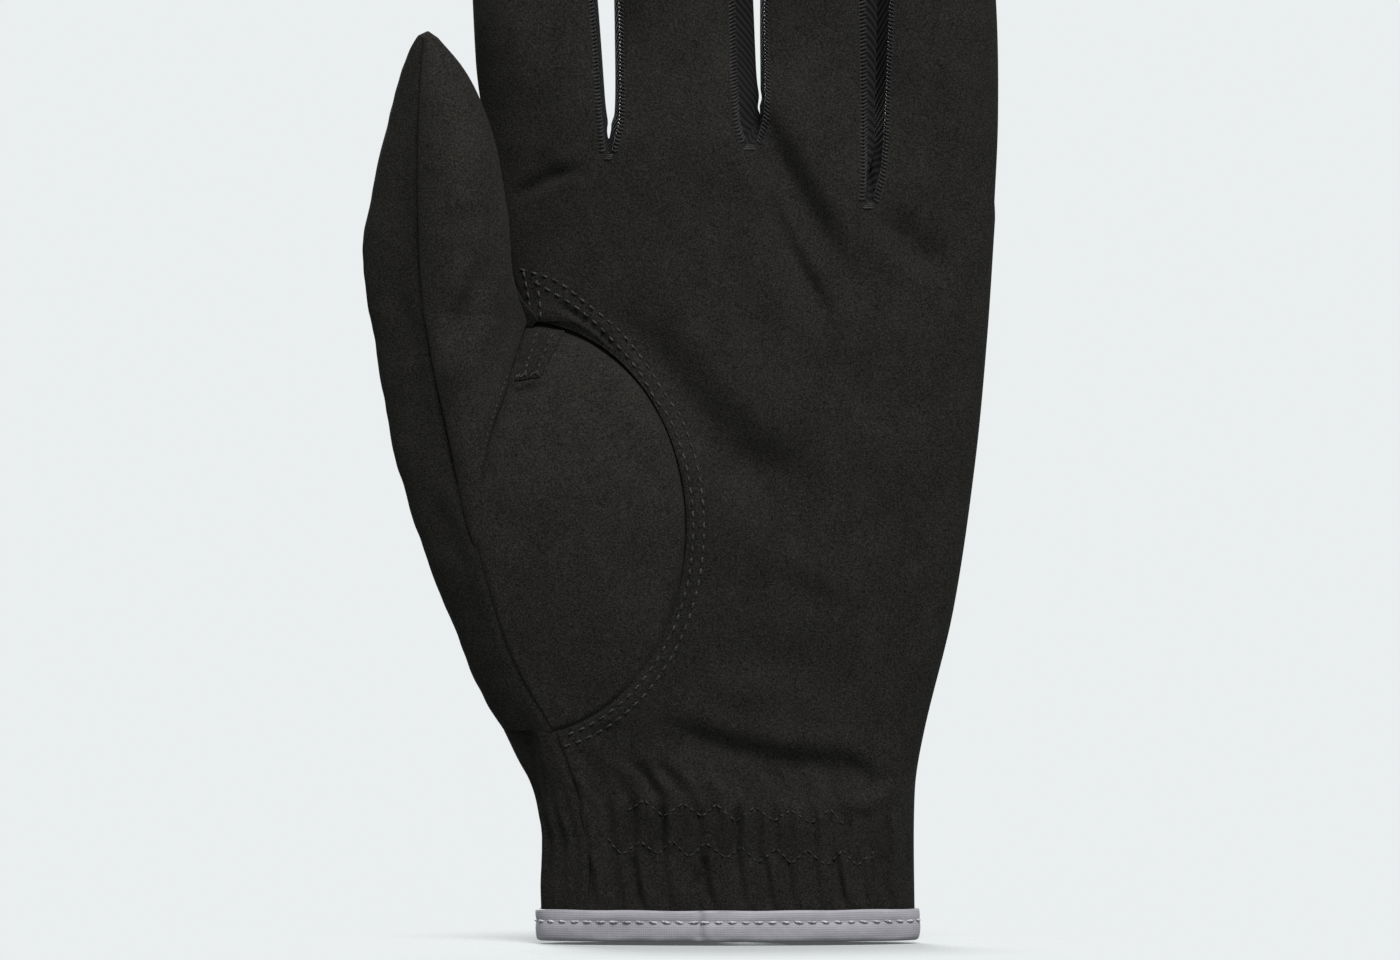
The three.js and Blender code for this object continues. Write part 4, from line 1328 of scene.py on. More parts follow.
def dropped_on(tree: BVHTree, places: Array, side: Side) -> tuple[Array, Array]:
    """Points of a panel's outer face seen straight from the front or the back.

    Args:
        tree: the panel's search tree.
        places: (x, z) places.
        side: where they are seen from.

    Returns:
        The points and the outward normals there.
    """
    direction = Vector((0.0, -side.outward, 0.0))
    points, normals = [], []
    for x, z in places.reshape(-1, 2):
        from_point = Vector((x, -FAR_OUT * direction.y, z))
        point, normal, _, _ = tree.ray_cast(from_point, direction)
        if point is None:
            point, normal, _, _ = tree.find_nearest(Vector((x, -NEAR_CLOTH * direction.y, z)))
        if normal.dot(direction) > 0:
            normal = -normal
        points.append(tuple(point))
        normals.append(tuple(normal))
    shape = (*places.shape[:-1], 3)
    return np.array(points).reshape(shape), np.array(normals).reshape(shape)


def stitches(
    name: str, tree: BVHTree, starts: Array, ends: Array, stitch: Stitch, side: Side = Side.FRONT
) -> Piece:
    """Stitches between pairs of places on a panel.

    Args:
        name: the piece's name.
        tree: search tree of the cloth that is sewn.
        starts: (x, z) places where the stitches come up.
        ends: (x, z) places where they go down.
        stitch: kind of stitch.
        side: the cloth's side of the glove.

    Returns:
        The new object.
    """
    from_points, normals = dropped_on(tree, starts, side)
    to_points, _ = dropped_on(tree, ends, side)
    return threads(name, stitch_paths(from_points, to_points, normals, stitch), normals, stitch.radius)


def row_of_stitches(name: str, tree: BVHTree, line: Array, stitch: Stitch) -> Piece:
    """A row of stitches along a line on the palm side.

    Args:
        name: the piece's name.
        tree: search tree of the cloth that is sewn.
        line: (x, z) points of the row, close together.
        stitch: kind of stitch.

    Returns:
        The new object.
    """
    places, direction = evenly_along(line, stitch.pitch)
    half = direction * stitch.pitch * stitch.share / 2
    return stitches(name, tree, places - half, places + half, stitch)


@dataclass
class Hand:
    """Palm, back, ball of the thumb and the strip beside the wrist."""

    form: HandForm = FORM
    row_outsets: Pair = (1.2, 3.1)
    lip_roll: float = 0.3
    lip_roll_foot: float = 0.35
    lip_roll_top: float = 0.9
    lip_gap_low: float = 1.7
    lip_gap_foot: float = 0.55
    lip_gap_high: float = 2.8
    thenar_swell: float = 2.5
    thenar_under: float = 1.8
    thenar_tuck: float = 1.6
    thenar_follow: float = 5.0
    side_columns: int = 40
    seam_depth: float = 0.55
    slit_half: float = 3.0
    slit_top: float = 58.0
    slit_ease: float = 9.0
    slit_power: float = 0.6
    slit_least: float = 0.02
    slit_drift: Pair = (14.0, 24.0)
    calm_reach: Pair = (0.5, 9.0)
    seam_width: float = 0.6
    thread_groove: float = 0.16
    groove_width: float = 0.45
    opening_z: Pair = (95.0, 110.0)
    foot_z: Pair = (46.0, 76.0)
    lip_crest: float = 0.4
    lip_crest_width: float = 2.2
    little_seam_depth: float = 0.25
    little_seam_width: float = 0.5
    oval_start_levels: Pair = (4.0, 4.8)
    oval_end_levels: Pair = (13.6, 14.6)
    wrist_end_levels: Pair = (3.4, 4.4)
    thenar_levels: Pair = (4.02, 13.98)
    crotch_depths: int = 15
    tuck_seed: int = 7
    upper_tucks: tuple[float, float, float] = (-31.0, 32.0, 3.3)
    lower_tucks: tuple[float, float, float] = (-29.0, 33.0, 4.4)
    leaning_tucks: tuple[float, float, float] = (-27.0, 26.0, 4.6)
    cuff_tuck: Fold = Fold(((-5.0, 13.5), (-5.3, 10.0), (-5.1, 4.0)), 1.0, 0.8, 1.5, 0.4, 0.25)
    bar_threads: int = 3
    bar_stitch: Stitch = Stitch(0.17, 0.2, 0.2)
    rows_below: int = 12
    palm_roughs: tuple[Rough, ...] = (Rough(3, 22.0, 0.22), Rough(4, 5.5, 0.05))
    back_roughs: tuple[Rough, ...] = (Rough(11, 24.0, 0.3), Rough(12, 6.0, 0.05))
    thenar_roughs: tuple[Rough, ...] = (Rough(21, 16.0, 0.12), Rough(22, 5.0, 0.04))
    wrist_rough: Rough = Rough(31, 9.0, 0.1)
    tuck_depth: float = 2.2
    tuck_line: Profile = Profile((22.0, -33.6), (25.0, -33.4), (31.0, -34.2), (39.3, -36.0), (44.0, -41.0))
    palm_cut: Cut = Cut(100.0, 150.0, 10500.0)
    back_cut: Cut = Cut(104.0, 150.0, 12500.0)
    thenar_cut: Cut = Cut(45.0, 80.0, 2620.0)
    wrist_side_cut: Cut = Cut(20.0, 42.0, 720.0)
    folds: tuple[Fold, ...] = (
        Fold(
            ((-27.0, 117.5), (-19.0, 111.5), (-8.5, 99.0), (0.8, 89.5), (10.0, 82.5), (19.5, 75.0)),
            3.2, 5.5, 6.5, 0.2,
        ),
        Fold(((-32.2, 116.2), (-27.7, 113.4), (-23.3, 110.4), (-19.6, 106.6)), 0.7, 0.8, 0.4, 0.2, 0.25),
        Fold(
            ((4.8, 153.0), (9.6, 141.5), (15.0, 131.5), (20.4, 122.5), (26.0, 113.5)),
            2.6, 2.8, 4.2, 0.2, 0.16, 0.55,
        ),
        Fold(((4.6, 140.0), (10.6, 126.6), (16.0, 116.0), (18.6, 108.0)), 1.8, 2.0, 3.4, 0.25),
        Fold(((26.2, 133.6), (33.5, 125.6), (41.5, 120.5)), 1.2, 3.2, 2.4, 0.3),
        Fold(((-40.2, 133.2), (-34.5, 137.2), (-25.2, 140.6)), 0.9, 1.5, 1.0, 0.25, 0.3),
        Fold(((-41.0, 131.0), (-35.5, 137.6), (-30.0, 142.6)), 0.8, 4.0, 3.0, 0.1, 0.3),
        Fold(((6.2, 72.1), (17.7, 65.3), (25.7, 61.3)), -0.5, 2.8, 2.2, 0.3),
        Fold(
            ((-15.5, 40.6), (-2.5, 35.4), (9.7, 32.4), (20.8, 31.2), (25.0, 28.8), (28.4, 25.6)),
            1.75, 2.6, 5.2, 0.3, 0.3, 0.12,
        ),
        Fold(((20.0, 33.4), (22.6, 31.9), (25.2, 29.6), (28.0, 26.9)), 0.5, 1.5, 2.8, 0.3, 0.3),
        Fold(((-4.0, 51.7), (8.0, 50.5), (19.8, 48.2)), 0.8, 4.6, 3.4, 0.2),
        Fold(((-28.9, 35.7), (-24.0, 31.0), (-19.8, 25.5)), 0.5, 1.5, 1.2, 0.3),
        Fold(((-18.7, 34.6), (-16.0, 30.0), (-13.1, 25.5)), 0.5, 1.5, 1.2, 0.3),
        Fold(((-14.2, 33.5), (-9.5, 29.0), (-5.1, 24.9)), 0.45, 1.5, 1.2, 0.3),
        Fold(((18.6, 24.6), (26.2, 25.1), (33.5, 30.0)), -0.45, 1.6, 1.4, 0.2),
        Fold(((15.0, 110.0), (22.0, 101.0), (29.0, 91.0)), 0.7, 6.0, 5.0, 0.1),
        Fold(((-7.5, 91.5), (1.0, 86.0), (9.6, 81.2)), 0.3, 3.0, 2.4, 0.2),
    )
    back_folds: tuple[Fold, ...] = (
        Fold(((-12.0, 60.0), (-22.0, 70.0), (-31.0, 84.0)), 0.6, 3.0, 2.4, 0.3),
        Fold(((14.0, 58.0), (24.0, 66.0), (34.0, 78.0)), 0.55, 3.0, 2.4, 0.3),
        Fold(((-2.0, 64.0), (1.0, 78.0), (-3.0, 96.0)), 0.35, 3.4, 3.0, 0.2),
        Fold(((-20.0, 134.0), (-14.0, 122.0), (-12.0, 106.0)), 0.5, 3.0, 2.6, 0.2),
        Fold(((5.0, 136.0), (7.0, 122.0), (12.0, 108.0)), 0.5, 3.0, 2.6, 0.2),
        Fold(((27.0, 127.0), (26.0, 114.0), (22.0, 100.0)), 0.5, 3.0, 2.6, 0.2),
        Fold(((-36.0, 100.0), (-27.0, 108.0), (-22.0, 120.0)), 0.6, 3.0, 2.4, 0.3),
    )
    thenar_folds: tuple[Fold, ...] = (
        Fold(((-40.4, 99.2), (-37.4, 99.7), (-33.8, 101.2)), 0.9, 0.5, 0.9, 0.2, 0.3),
        Fold(((-17.5, 84.0), (-19.0, 72.0), (-17.0, 60.0)), 0.25, 2.4, 3.0, 0.3),
    )

    def gathers(self) -> list[Fold]:
        """Short upright tucks where the elastic draws the wrist together.

        Returns:
            The tucks as folds.
        """
        random = np.random.default_rng(self.tuck_seed)
        tucks = []
        for x in np.arange(*self.upper_tucks):
            place = x + random.uniform(-0.7, 0.7)
            lean = random.uniform(-1.2, 0.6)
            high = 25.6 - 0.045 * (x + 22.0) + random.uniform(-1.2, 0.6)
            line = ((place + lean, high + 1.5), (place, high - 4.0), (place - 0.4, high - 10.0))
            tucks.append(Fold(line, lerp(0.3, 1.15, random.uniform() ** 1.5), 0.75, 1.35, 0.5, 0.3))
        for x in np.arange(*self.lower_tucks):
            place = x + random.uniform(-1.2, 1.2)
            line = ((place - 0.8, 16.6), (place + random.uniform(-0.4, 0.6), 11.5), (place + 0.8, 5.4))
            tucks.append(Fold(line, lerp(0.25, 1.25, random.uniform() ** 2), 0.7, 1.4, 0.35, 0.25))
        for x in np.arange(*self.leaning_tucks):
            place = x + random.uniform(-1.2, 1.2)
            line = ((place, 25.0), (place - 1.8, 28.5), (place - 4.6, random.uniform(31.0, 34.5)))
            tucks.append(Fold(line, random.uniform(0.25, 0.6), 0.9, 1.5, 0.35, 0.3))
        return [*tucks, self.cuff_tuck]

    def relief(self, x: Array, z: Array) -> Array:
        """Height of the palm side's folds and tucks at each (x, z)."""
        return relief_of(x, z, self.palm_roughs, (*self.folds, *self.gathers()))

    def oval_distance(self, x: Array, z: Array) -> Array:
        """Distance outside the oval seam, below 0 inside it.

        Args:
            x: places across the glove.
            z: places up the glove.

        Returns:
            One distance for each place.
        """
        across = (x - self.form.oval_x) / self.form.oval_radius_x
        up = (z - self.form.oval_z) / self.form.oval_radius_z
        size = np.hypot(across, up)
        slope = np.hypot(across / self.form.oval_radius_x, up / self.form.oval_radius_z) / size
        return (size - 1.0) / slope

    def oval_opening(self, z: Array) -> Array:
        """Rise from 0 at the lower part of the oval to 1 at its top, where the palm's edge stands away."""
        return smoothstep(z, *self.opening_z)

    def oval_foot(self, z: Array) -> Array:
        """Fall from 1 at the lower end of the oval, where the palm's edge lies flat, to 0 at its middle."""
        return 1.0 - smoothstep(z, *self.foot_z)

    def palm_points(self) -> Array:
        """Outer face of the palm with its folds, tucks and the turned edge along the oval.

        Returns:
            Rows and columns of points.
        """
        points = self.form.palm_net()
        x, z = points[..., 0], points[..., 2]
        from_left, from_right = edge_runs(points)
        level = self.form.levels[:, None]
        index_side = smoothstep(level, self.form.oval_top_level - 1.0, self.form.oval_top_level + 0.6)
        calm_left = lerp(1.0, smoothstep(from_left, *self.calm_reach), index_side)
        calm = smoothstep(from_right, *self.calm_reach) * calm_left
        self.palm_root = KnuckleRow(points[-1].copy(), self.relief, calm[-1])
        height = self.relief(x, z) * calm
        at_oval = smoothstep(level, *self.oval_start_levels)
        at_oval = at_oval * (1.0 - smoothstep(level, *self.oval_end_levels))
        outside = self.oval_distance(x, z)
        opening = self.oval_opening(z)
        low_roll = lerp(self.lip_roll, self.lip_roll_foot, self.oval_foot(z))
        roll = lerp(low_roll, self.lip_roll_top, opening) * bell(outside, lerp(0.5, 1.0, opening))
        crest = self.lip_crest * bell(outside - self.lip_crest_width, self.lip_crest_width)
        height = height + at_oval * (crest - roll)
        for outset in self.row_outsets:
            height = height - at_oval * self.thread_groove * bell(outside - outset, self.groove_width)
        wrist = 1.0 - smoothstep(level, *self.wrist_end_levels)
        height = height - 1.4 * self.seam_depth * wrist * bell(from_left, self.seam_width)
        height = height - self.seam_depth * index_side * bell(from_left, self.seam_width)
        height = height - self.little_seam_depth * bell(from_right, self.little_seam_width)
        points[..., 1] -= height
        return points

    def back_points(self) -> tuple[Array, int, Array]:
        """Outer face of the back, parted along the slit.

        Returns:
            The points, the column on the slit's left side, and the rows where the slit is open.
        """
        points = self.form.back_net()
        x, z = points[..., 0], points[..., 2]
        from_left, from_right = edge_runs(points)
        calm = smoothstep(np.minimum(from_left, from_right), *self.calm_reach)
        self.back_root = KnuckleRow(points[-1].copy(), self.back_relief, calm[-1])
        height = self.back_relief(x, z) * calm
        height = height - self.seam_depth * bell(from_left, 0.8)
        height = height - self.little_seam_depth * bell(from_right, self.little_seam_width)
        points[..., 1] += height
        middle = int(np.argmin(np.abs(points[0, :, 0])))
        parted = np.insert(points, middle, points[:, middle], axis=1)
        centre = parted[:, middle, 0].copy()
        rows_z = parted[:, middle, 2]
        half = self.slit_opening(rows_z)
        ease = 1.0 - smoothstep(np.abs(parted[..., 0] - centre[:, None]), 0.0, self.slit_ease)
        side = np.where(np.arange(parted.shape[1]) <= middle, -1.0, 1.0)
        drift_above, drift_length = self.slit_drift
        drift = smoothstep(self.slit_top + drift_above - rows_z, 0.0, drift_length) * centre
        parted[..., 0] += ease * (side[None, :] * half[:, None] - drift[:, None])
        return parted, middle, half > self.slit_least

    def back_relief(self, x: Array, z: Array) -> Array:
        """Height of the back's folds, most of them drawn from the closure and the knuckles."""
        return relief_of(x, z, self.back_roughs, self.back_folds)

    def slit_opening(self, z: Array) -> Array:
        """Half width of the slit at each height, 0 above its top."""
        return self.slit_half * np.clip(1.0 - z / self.slit_top, 0.0, 1.0) ** self.slit_power

    def thenar_points(self) -> Array:
        """Outer face of the ball of the thumb, sunk where it runs under the palm's edge.

        Returns:
            Rows and columns of points.
        """
        thumb = THUMB_FORM
        levels = rows_between(thumb.thenar_left, *self.thenar_levels, self.form.row_pitch)
        shares = crowded(self.side_columns, 0.5)[None, :, None]
        rights = self.form.oval_point(self.form.oval_angle(levels), self.thenar_under)
        lefts = thumb.thenar_left(levels)
        tuck = smoothstep(levels, thumb.split + 0.8, thumb.split + 3.2)
        tuck = tuck * (1.0 - smoothstep(levels, 13.2, 13.9))
        below_split = (1.0 - smoothstep(levels, thumb.split, thumb.split + 0.4))[:, None]
        lefts[:, 0] -= self.thenar_tuck * tuck
        points = lerp(lefts[:, None, :], rights[:, None, :], shares)
        x, z = points[..., 0], points[..., 2]
        row_share = ((levels - 4.0) / 10.0)[:, None]
        swell = self.thenar_swell * np.sin(np.pi * shares[..., 0]) * np.sin(np.pi * row_share)
        left_edge = 1.0 - smoothstep(shares[..., 0], 0.0, 0.08)
        sheet = lerp(self.form.palm_y(x, z), points[..., 1], left_edge)
        inside = np.maximum(-self.oval_distance(x, z), 0.0)
        opening = self.oval_opening(z)
        low_gap = lerp(self.lip_gap_low, self.lip_gap_foot, self.oval_foot(z))
        reach = lerp(lerp(0.6, 0.4, self.oval_foot(z)), 1.5, opening)
        sink = lerp(low_gap, self.lip_gap_high, opening) * bell(inside, reach)
        from_left, _ = edge_runs(points)
        rough = relief_of(x, z, self.thenar_roughs, self.thenar_folds)
        sheet = sheet - self.relief(x, z) * bell(inside, self.thenar_follow)
        calm = smoothstep(from_left, 0.3, 5.0)
        drop = 1.6 * self.seam_depth * below_split * bell(from_left, self.seam_width)
        drop = drop + 1.5 * tuck[:, None] * bell(from_left, 2.2)
        points[..., 1] = sheet - swell - rough * calm + sink + drop
        return points

    def wrist_side_points(self) -> Array:
        """Outer face of the strip beside the wrist, with small ripples.

        Returns:
            Rows and columns of points.
        """
        thumb = THUMB_FORM
        levels = rows_between(thumb.side_left, 0.0, 4.0, self.form.row_pitch)
        points = thumb.side_net(levels, crowded(self.side_columns, 0.5))
        normals = net_normals(points, Face.AGAINST)
        x, z = points[..., 0], points[..., 2]
        from_left, from_right = edge_runs(points)
        calm = smoothstep(np.minimum(from_left, from_right), 0.2, 2.5)
        ripple = 0.3 * np.sin(2.1 * from_left + 0.5 * np.sin(0.45 * z)) * bell(z - 19.0, 9.0)
        tuck = self.tuck_depth * smoothstep(self.tuck_line(z) - x, -0.4, 0.6) * smoothstep(z, 23.0, 27.0)
        tuck = tuck * smoothstep(from_left, 0.2, 2.5) * smoothstep(from_right, 0.5, 7.0)
        points = points + normals * ((ripple + self.wrist_rough(x, z)) * calm)[..., None]
        points[..., 1] += tuck
        return sewn_in(points, normals, self.seam_depth, self.seam_depth)

    def build(self, fingers: "Sequence[Finger]") -> None:
        """Builds the hand's cloth and the fingers that run on from it.

        Args:
            fingers: the four fingers, from index to little finger.
        """
        palm = self.palm_points()
        back, slit_column, is_open = self.back_points()
        whole_back = np.delete(back, slit_column, axis=1)
        palm_normals = net_normals(palm, Face.ALONG)
        whole_normals = net_normals(whole_back, Face.AGAINST)
        for finger in fingers:
            columns = self.form.finger_slice(finger.number)
            below = (slice(-self.rows_below, None), columns)
            front_root = self.palm_root.part(columns)
            finger.build_side(Side.FRONT, front_root, palm[below], palm_normals[-1, columns])
            back_root = self.back_root.part(columns)
            finger.build_side(Side.BACK, back_root, whole_back[below], whole_normals[-1, columns])
            finger.build_walls()
        back_normals = np.insert(whole_normals, slit_column, whole_normals[:, slit_column], axis=1)
        cloth = self.form.cloth
        made = cloth_shell("palm_cloth", palm, Face.ALONG, cloth, palm_normals)
        dress(made, Finishes.SUEDE, ["palm_panel"], self.palm_cut, body="hand")
        self.palm_tree = surface_tree(palm)
        made = cloth_shell("back_cloth", back, Face.AGAINST, cloth, back_normals, (slit_column, is_open))
        dress(made, Finishes.SUEDE, ["back_panel"], self.back_cut, body="hand")
        self.back_tree = surface_tree(whole_back)
        thenar = self.thenar_points()
        made = cloth_shell("thenar_cloth", thenar, Face.ALONG, cloth)
        # The thenar wears the lighter copy of the suede, which paints brighter light on it.
        dress(made, Finishes.LIT_THUMB_SUEDE, ["thenar_panel"], self.thenar_cut, body="hand")
        self.thenar_tree = surface_tree(thenar)
        made = cloth_shell("wrist_side_cloth", self.wrist_side_points(), Face.AGAINST, cloth)
        dress(made, Finishes.SUEDE, ["wrist_side_panel"], self.wrist_side_cut, body="hand")
        self.palm, self.back = palm, whole_back

    def build_crotches(self) -> None:
        """Builds the strips of stretch cloth across the feet of the finger gaps."""
        names = ("index_middle", "middle_ring", "ring_little")
        depths = np.linspace(0.0, 1.0, self.crotch_depths)[None, :, None]
        for number, name in enumerate(names):
            first = self.form.finger_slice(number).stop - 1
            columns = slice(first, first + self.form.crotch_columns + 1)
            crotch = self.form.crotches[number]
            points = lerp(self.palm[-1, columns][:, None, :], self.back[-1, columns][:, None, :], depths)
            saddle = np.sin(np.pi * depths[..., 0])
            middle = points[..., 0].mean(axis=0) + crotch.lean * crotch.width / 2
            points[..., 0] = lerp(points[..., 0], middle, crotch.pinch * saddle)
            points[..., 2] += crotch.rise * saddle
            made = cloth_shell(f"crotch_cloth_{name}", points, Face.AGAINST, self.form.cloth)
            dress(made, Finishes.STRETCH, [f"crotch_gusset_{name}"], body="hand")
            self.build_bar(name, crotch)

    def build_bar(self, name: str, crotch: Crotch) -> None:
        """Builds the short bar of threads below one finger gap.

        Args:
            name: names of the two fingers.
            crotch: the foot of the gap.
        """
        shifts = np.linspace(-1.0, 1.0, self.bar_threads)[:, None]
        middle = np.array([crotch.x, crotch.z - crotch.sag - 0.15]) + shifts * np.array([0.12, 0.32])
        reach = np.array([crotch.width / 2 + 0.1, 0.0]) * (1.0 - 0.15 * shifts)
        ends = (middle - reach, middle + reach)
        made = stitches(f"crotch_bar_{name}", self.palm_tree, *ends, self.bar_stitch)
        dress(made, Finishes.BAR_THREAD, body="hand")


@dataclass(frozen=True)
class ThumbForm:
    """Seam lines and nets of the thumb and of the strip round the thumb side.

    Levels go on from the hand's: the thumb's own seams part at 8, its crotch is at 14 and its tip at 22.
    """

    hand: HandForm = FORM
    split: float = 8.0
    crotch: float = 14.0
    tip: float = 22.0
    crotch_gap: float = 0.4
    tip_close: float = 0.7
    inner_ease: Profile = Profile((104, 0.0), (114, 1.3), (124, 1.5), (134, 1.0), (146, 0.4), (158, 0.0))
    level_point: Point = (-55.6, -12.5, 114.0)
    crowd: float = 1.5
    outer: Profile = Profile(
        (0, -34), (22, -34), (33, -38.2), (49, -45.9), (65, -52.6), (87, -60.2), (109, -63.7), (125, -66.1),
        (137, -63.9), (153, -60.6), (161, -58), (166, -55),
    )
    wrap: Profile = Profile((0, 1.2), (38, 1.2), (70, 2), (112, 2.4), (166, 2.4))
    side_swell: Profile = Profile(
        (0, 0), (38, 0), (60, 1.5), (90, 4), (112, 8.5), (135, 10.5), (152, 8.5), (160, 5.5), (164, 2),
        (166, 0.5),
    )
    front_swell: Profile = Profile(
        (69, 0.0), (80, 0.7), (90, 2.7), (112, 5.5), (135, 6), (152, 5), (161, 2.5), (165, 0.6)
    )

    @cached_property
    def crotch_corner(self) -> Array:
        """The thumb's own corner of its crotch."""
        return self.hand.crotch_point - np.array([self.crotch_gap, 0.0, 0.0])

    @cached_property
    def lower_seam(self) -> SeamLine:
        """Outer seam from the wrist to where the thumb's two seams part."""
        hand = self.hand
        return SeamLine([hand.wrist_point, hand.on_edge(49.0), hand.on_edge(58.0), hand.on_edge(70.0)])

    @cached_property
    def middle_seam(self) -> SeamLine:
        """Outer seam up to the level of the crotch."""
        points = [(-48.6, -12.5, 80.0), (-51.4, -12.5, 93.0), (-53.8, -12.5, 104.0)]
        return SeamLine([self.hand.on_edge(70.0), *points, self.level_point])

    @cached_property
    def upper_seam(self) -> SeamLine:
        """Outer seam from the level of the crotch to the tip."""
        points = [(-56.4, -13.0, 125.0), (-56.6, -13.0, 143.0), (-56.0, -11.5, 158.0), (-55.4, -10.0, 165.0)]
        return SeamLine([self.level_point, *points], self.crowd)

    @cached_property
    def inner_lower(self) -> SeamLine:
        """Inner seam beside the ball of the thumb."""
        edge = [self.hand.on_edge(z) for z in (70.0, 80.0, 91.0, 101.0)]
        return SeamLine([*edge, self.crotch_corner])

    @cached_property
    def inner_upper(self) -> SeamLine:
        """Inner seam from the crotch to the tip."""
        points = [(-40.4, -8.0, 121.0), (-41.0, -9.5, 133.0), (-42.8, -9.5, 146.0), (-47.0, -9.5, 157.0)]
        return SeamLine([self.crotch_corner, *points, (-53.4, -9.5, 165.0)], self.crowd)

    def _between(self, line: SeamLine, levels: Array, start: float, end: float) -> Array:
        """Points of a seam that runs from one level to another."""
        return line.at((levels - start) / (end - start))

    def side_left(self, levels: Array) -> Array:
        """Front seam of the strip, from the cuff to the thumb's tip.

        Args:
            levels: levels of the rows.

        Returns:
            One point for each level.
        """
        top = self.hand.wrist_top
        wrist = self._between(self.hand.wrist_seam, levels, 0.0, top)
        lower = self._between(self.lower_seam, levels, top, self.split)
        middle = self._between(self.middle_seam, levels, self.split, self.crotch)
        upper = self._between(self.upper_seam, levels, self.crotch, self.tip)
        tests = [(levels < level)[:, None] for level in (top, self.split, self.crotch)]
        return np.select(tests, [wrist, lower, middle], upper)

    def side_right(self, levels: Array) -> Array:
        """Back seam of the strip, which becomes the thumb's inner seam above the crotch.

        Args:
            levels: levels of the rows.

        Returns:
            One point for each level.
        """
        top = self.hand.wrist_top
        wrist = self._between(self.hand.wrist_back_seam, levels, 0.0, top)
        back = self._between(self.hand.thumb_back_seam, levels, top, self.crotch)
        back[:, 0] -= self.crotch_gap * smoothstep(levels, self.crotch - 2.0, self.crotch)
        upper = self._between(self.inner_upper, levels, self.crotch, self.tip)
        upper[:, 0] += self.inner_ease(upper[:, 2])
        tests = [(levels < top)[:, None], (levels < self.crotch)[:, None]]
        return np.select(tests, [wrist, back], upper)

    def inner(self, levels: Array) -> Array:
        """Inner seam of the thumb's front.

        Args:
            levels: levels of the rows.

        Returns:
            One point for each level.
        """
        lower = self._between(self.inner_lower, levels, self.split, self.crotch)
        upper = self._between(self.inner_upper, levels, self.crotch, self.tip)
        line = np.where((levels < self.crotch)[:, None], lower, upper)
        line[:, 0] += self.inner_ease(line[:, 2])
        return line

    def thenar_left(self, levels: Array) -> Array:
        """Outer edge of the ball of the thumb.

        Args:
            levels: levels of the rows.

        Returns:
            One point for each level.
        """
        lower = self._between(self.lower_seam, levels, self.hand.wrist_top, self.split)
        upper = self._between(self.inner_lower, levels, self.split, self.crotch)
        return np.where((levels < self.split)[:, None], lower, upper)

    def _closed_tip(self, points: Array, levels: Array) -> Array:
        """Draws the last rows together, so that the tip is closed.

        Args:
            points: rows and columns of points.
            levels: levels of the rows.

        Returns:
            The moved points.
        """
        close = np.clip((levels - self.tip + self.tip_close) / self.tip_close, 0.0, 1.0)[:, None, None]
        middle = (points[:, :1] + points[:, -1:]) / 2
        return lerp(points, middle, 1.0 - np.sqrt(1.0 - 0.98 * close**2))

    def side_net(self, levels: Array, shares: Array) -> Array:
        """Rows of the strip round the thumb side.

        Args:
            levels: levels of the rows.
            shares: places of the columns, from 0 to 1.

        Returns:
            Rows and columns of points.
        """
        lefts, rights = self.side_left(levels), self.side_right(levels)
        wrap = self.wrap(lefts[:, 2])
        widest = 1.0 - 0.5 ** (1.0 / wrap)
        reach = np.maximum(lerp(lefts[:, 0], rights[:, 0], widest) - self.outer(lefts[:, 2]), 0.0)
        points = lerp(lefts[:, None, :], rights[:, None, :], shares[None, :, None])
        points[..., 0] -= reach[:, None] * np.sin(np.pi * (1.0 - shares[None, :]) ** wrap[:, None])
        points[..., 1] += self.side_swell(lefts[:, 2])[:, None] * arch(shares, 0.7, 0.7)[None, :]
        return self._closed_tip(points, levels)

    def front_net(self, levels: Array, shares: Array) -> Array:
        """Rows of the thumb's front.

        Args:
            levels: levels of the rows.
            shares: places of the columns, from 0 to 1.

        Returns:
            Rows and columns of points.
        """
        lefts, rights = self.side_left(levels), self.inner(levels)
        points = lerp(lefts[:, None, :], rights[:, None, :], shares[None, :, None])
        points[..., 1] -= self.front_swell(lefts[:, 2])[:, None] * arch(shares, 0.8, 0.6)[None, :]
        return self._closed_tip(points, levels)


THUMB_FORM = ThumbForm()


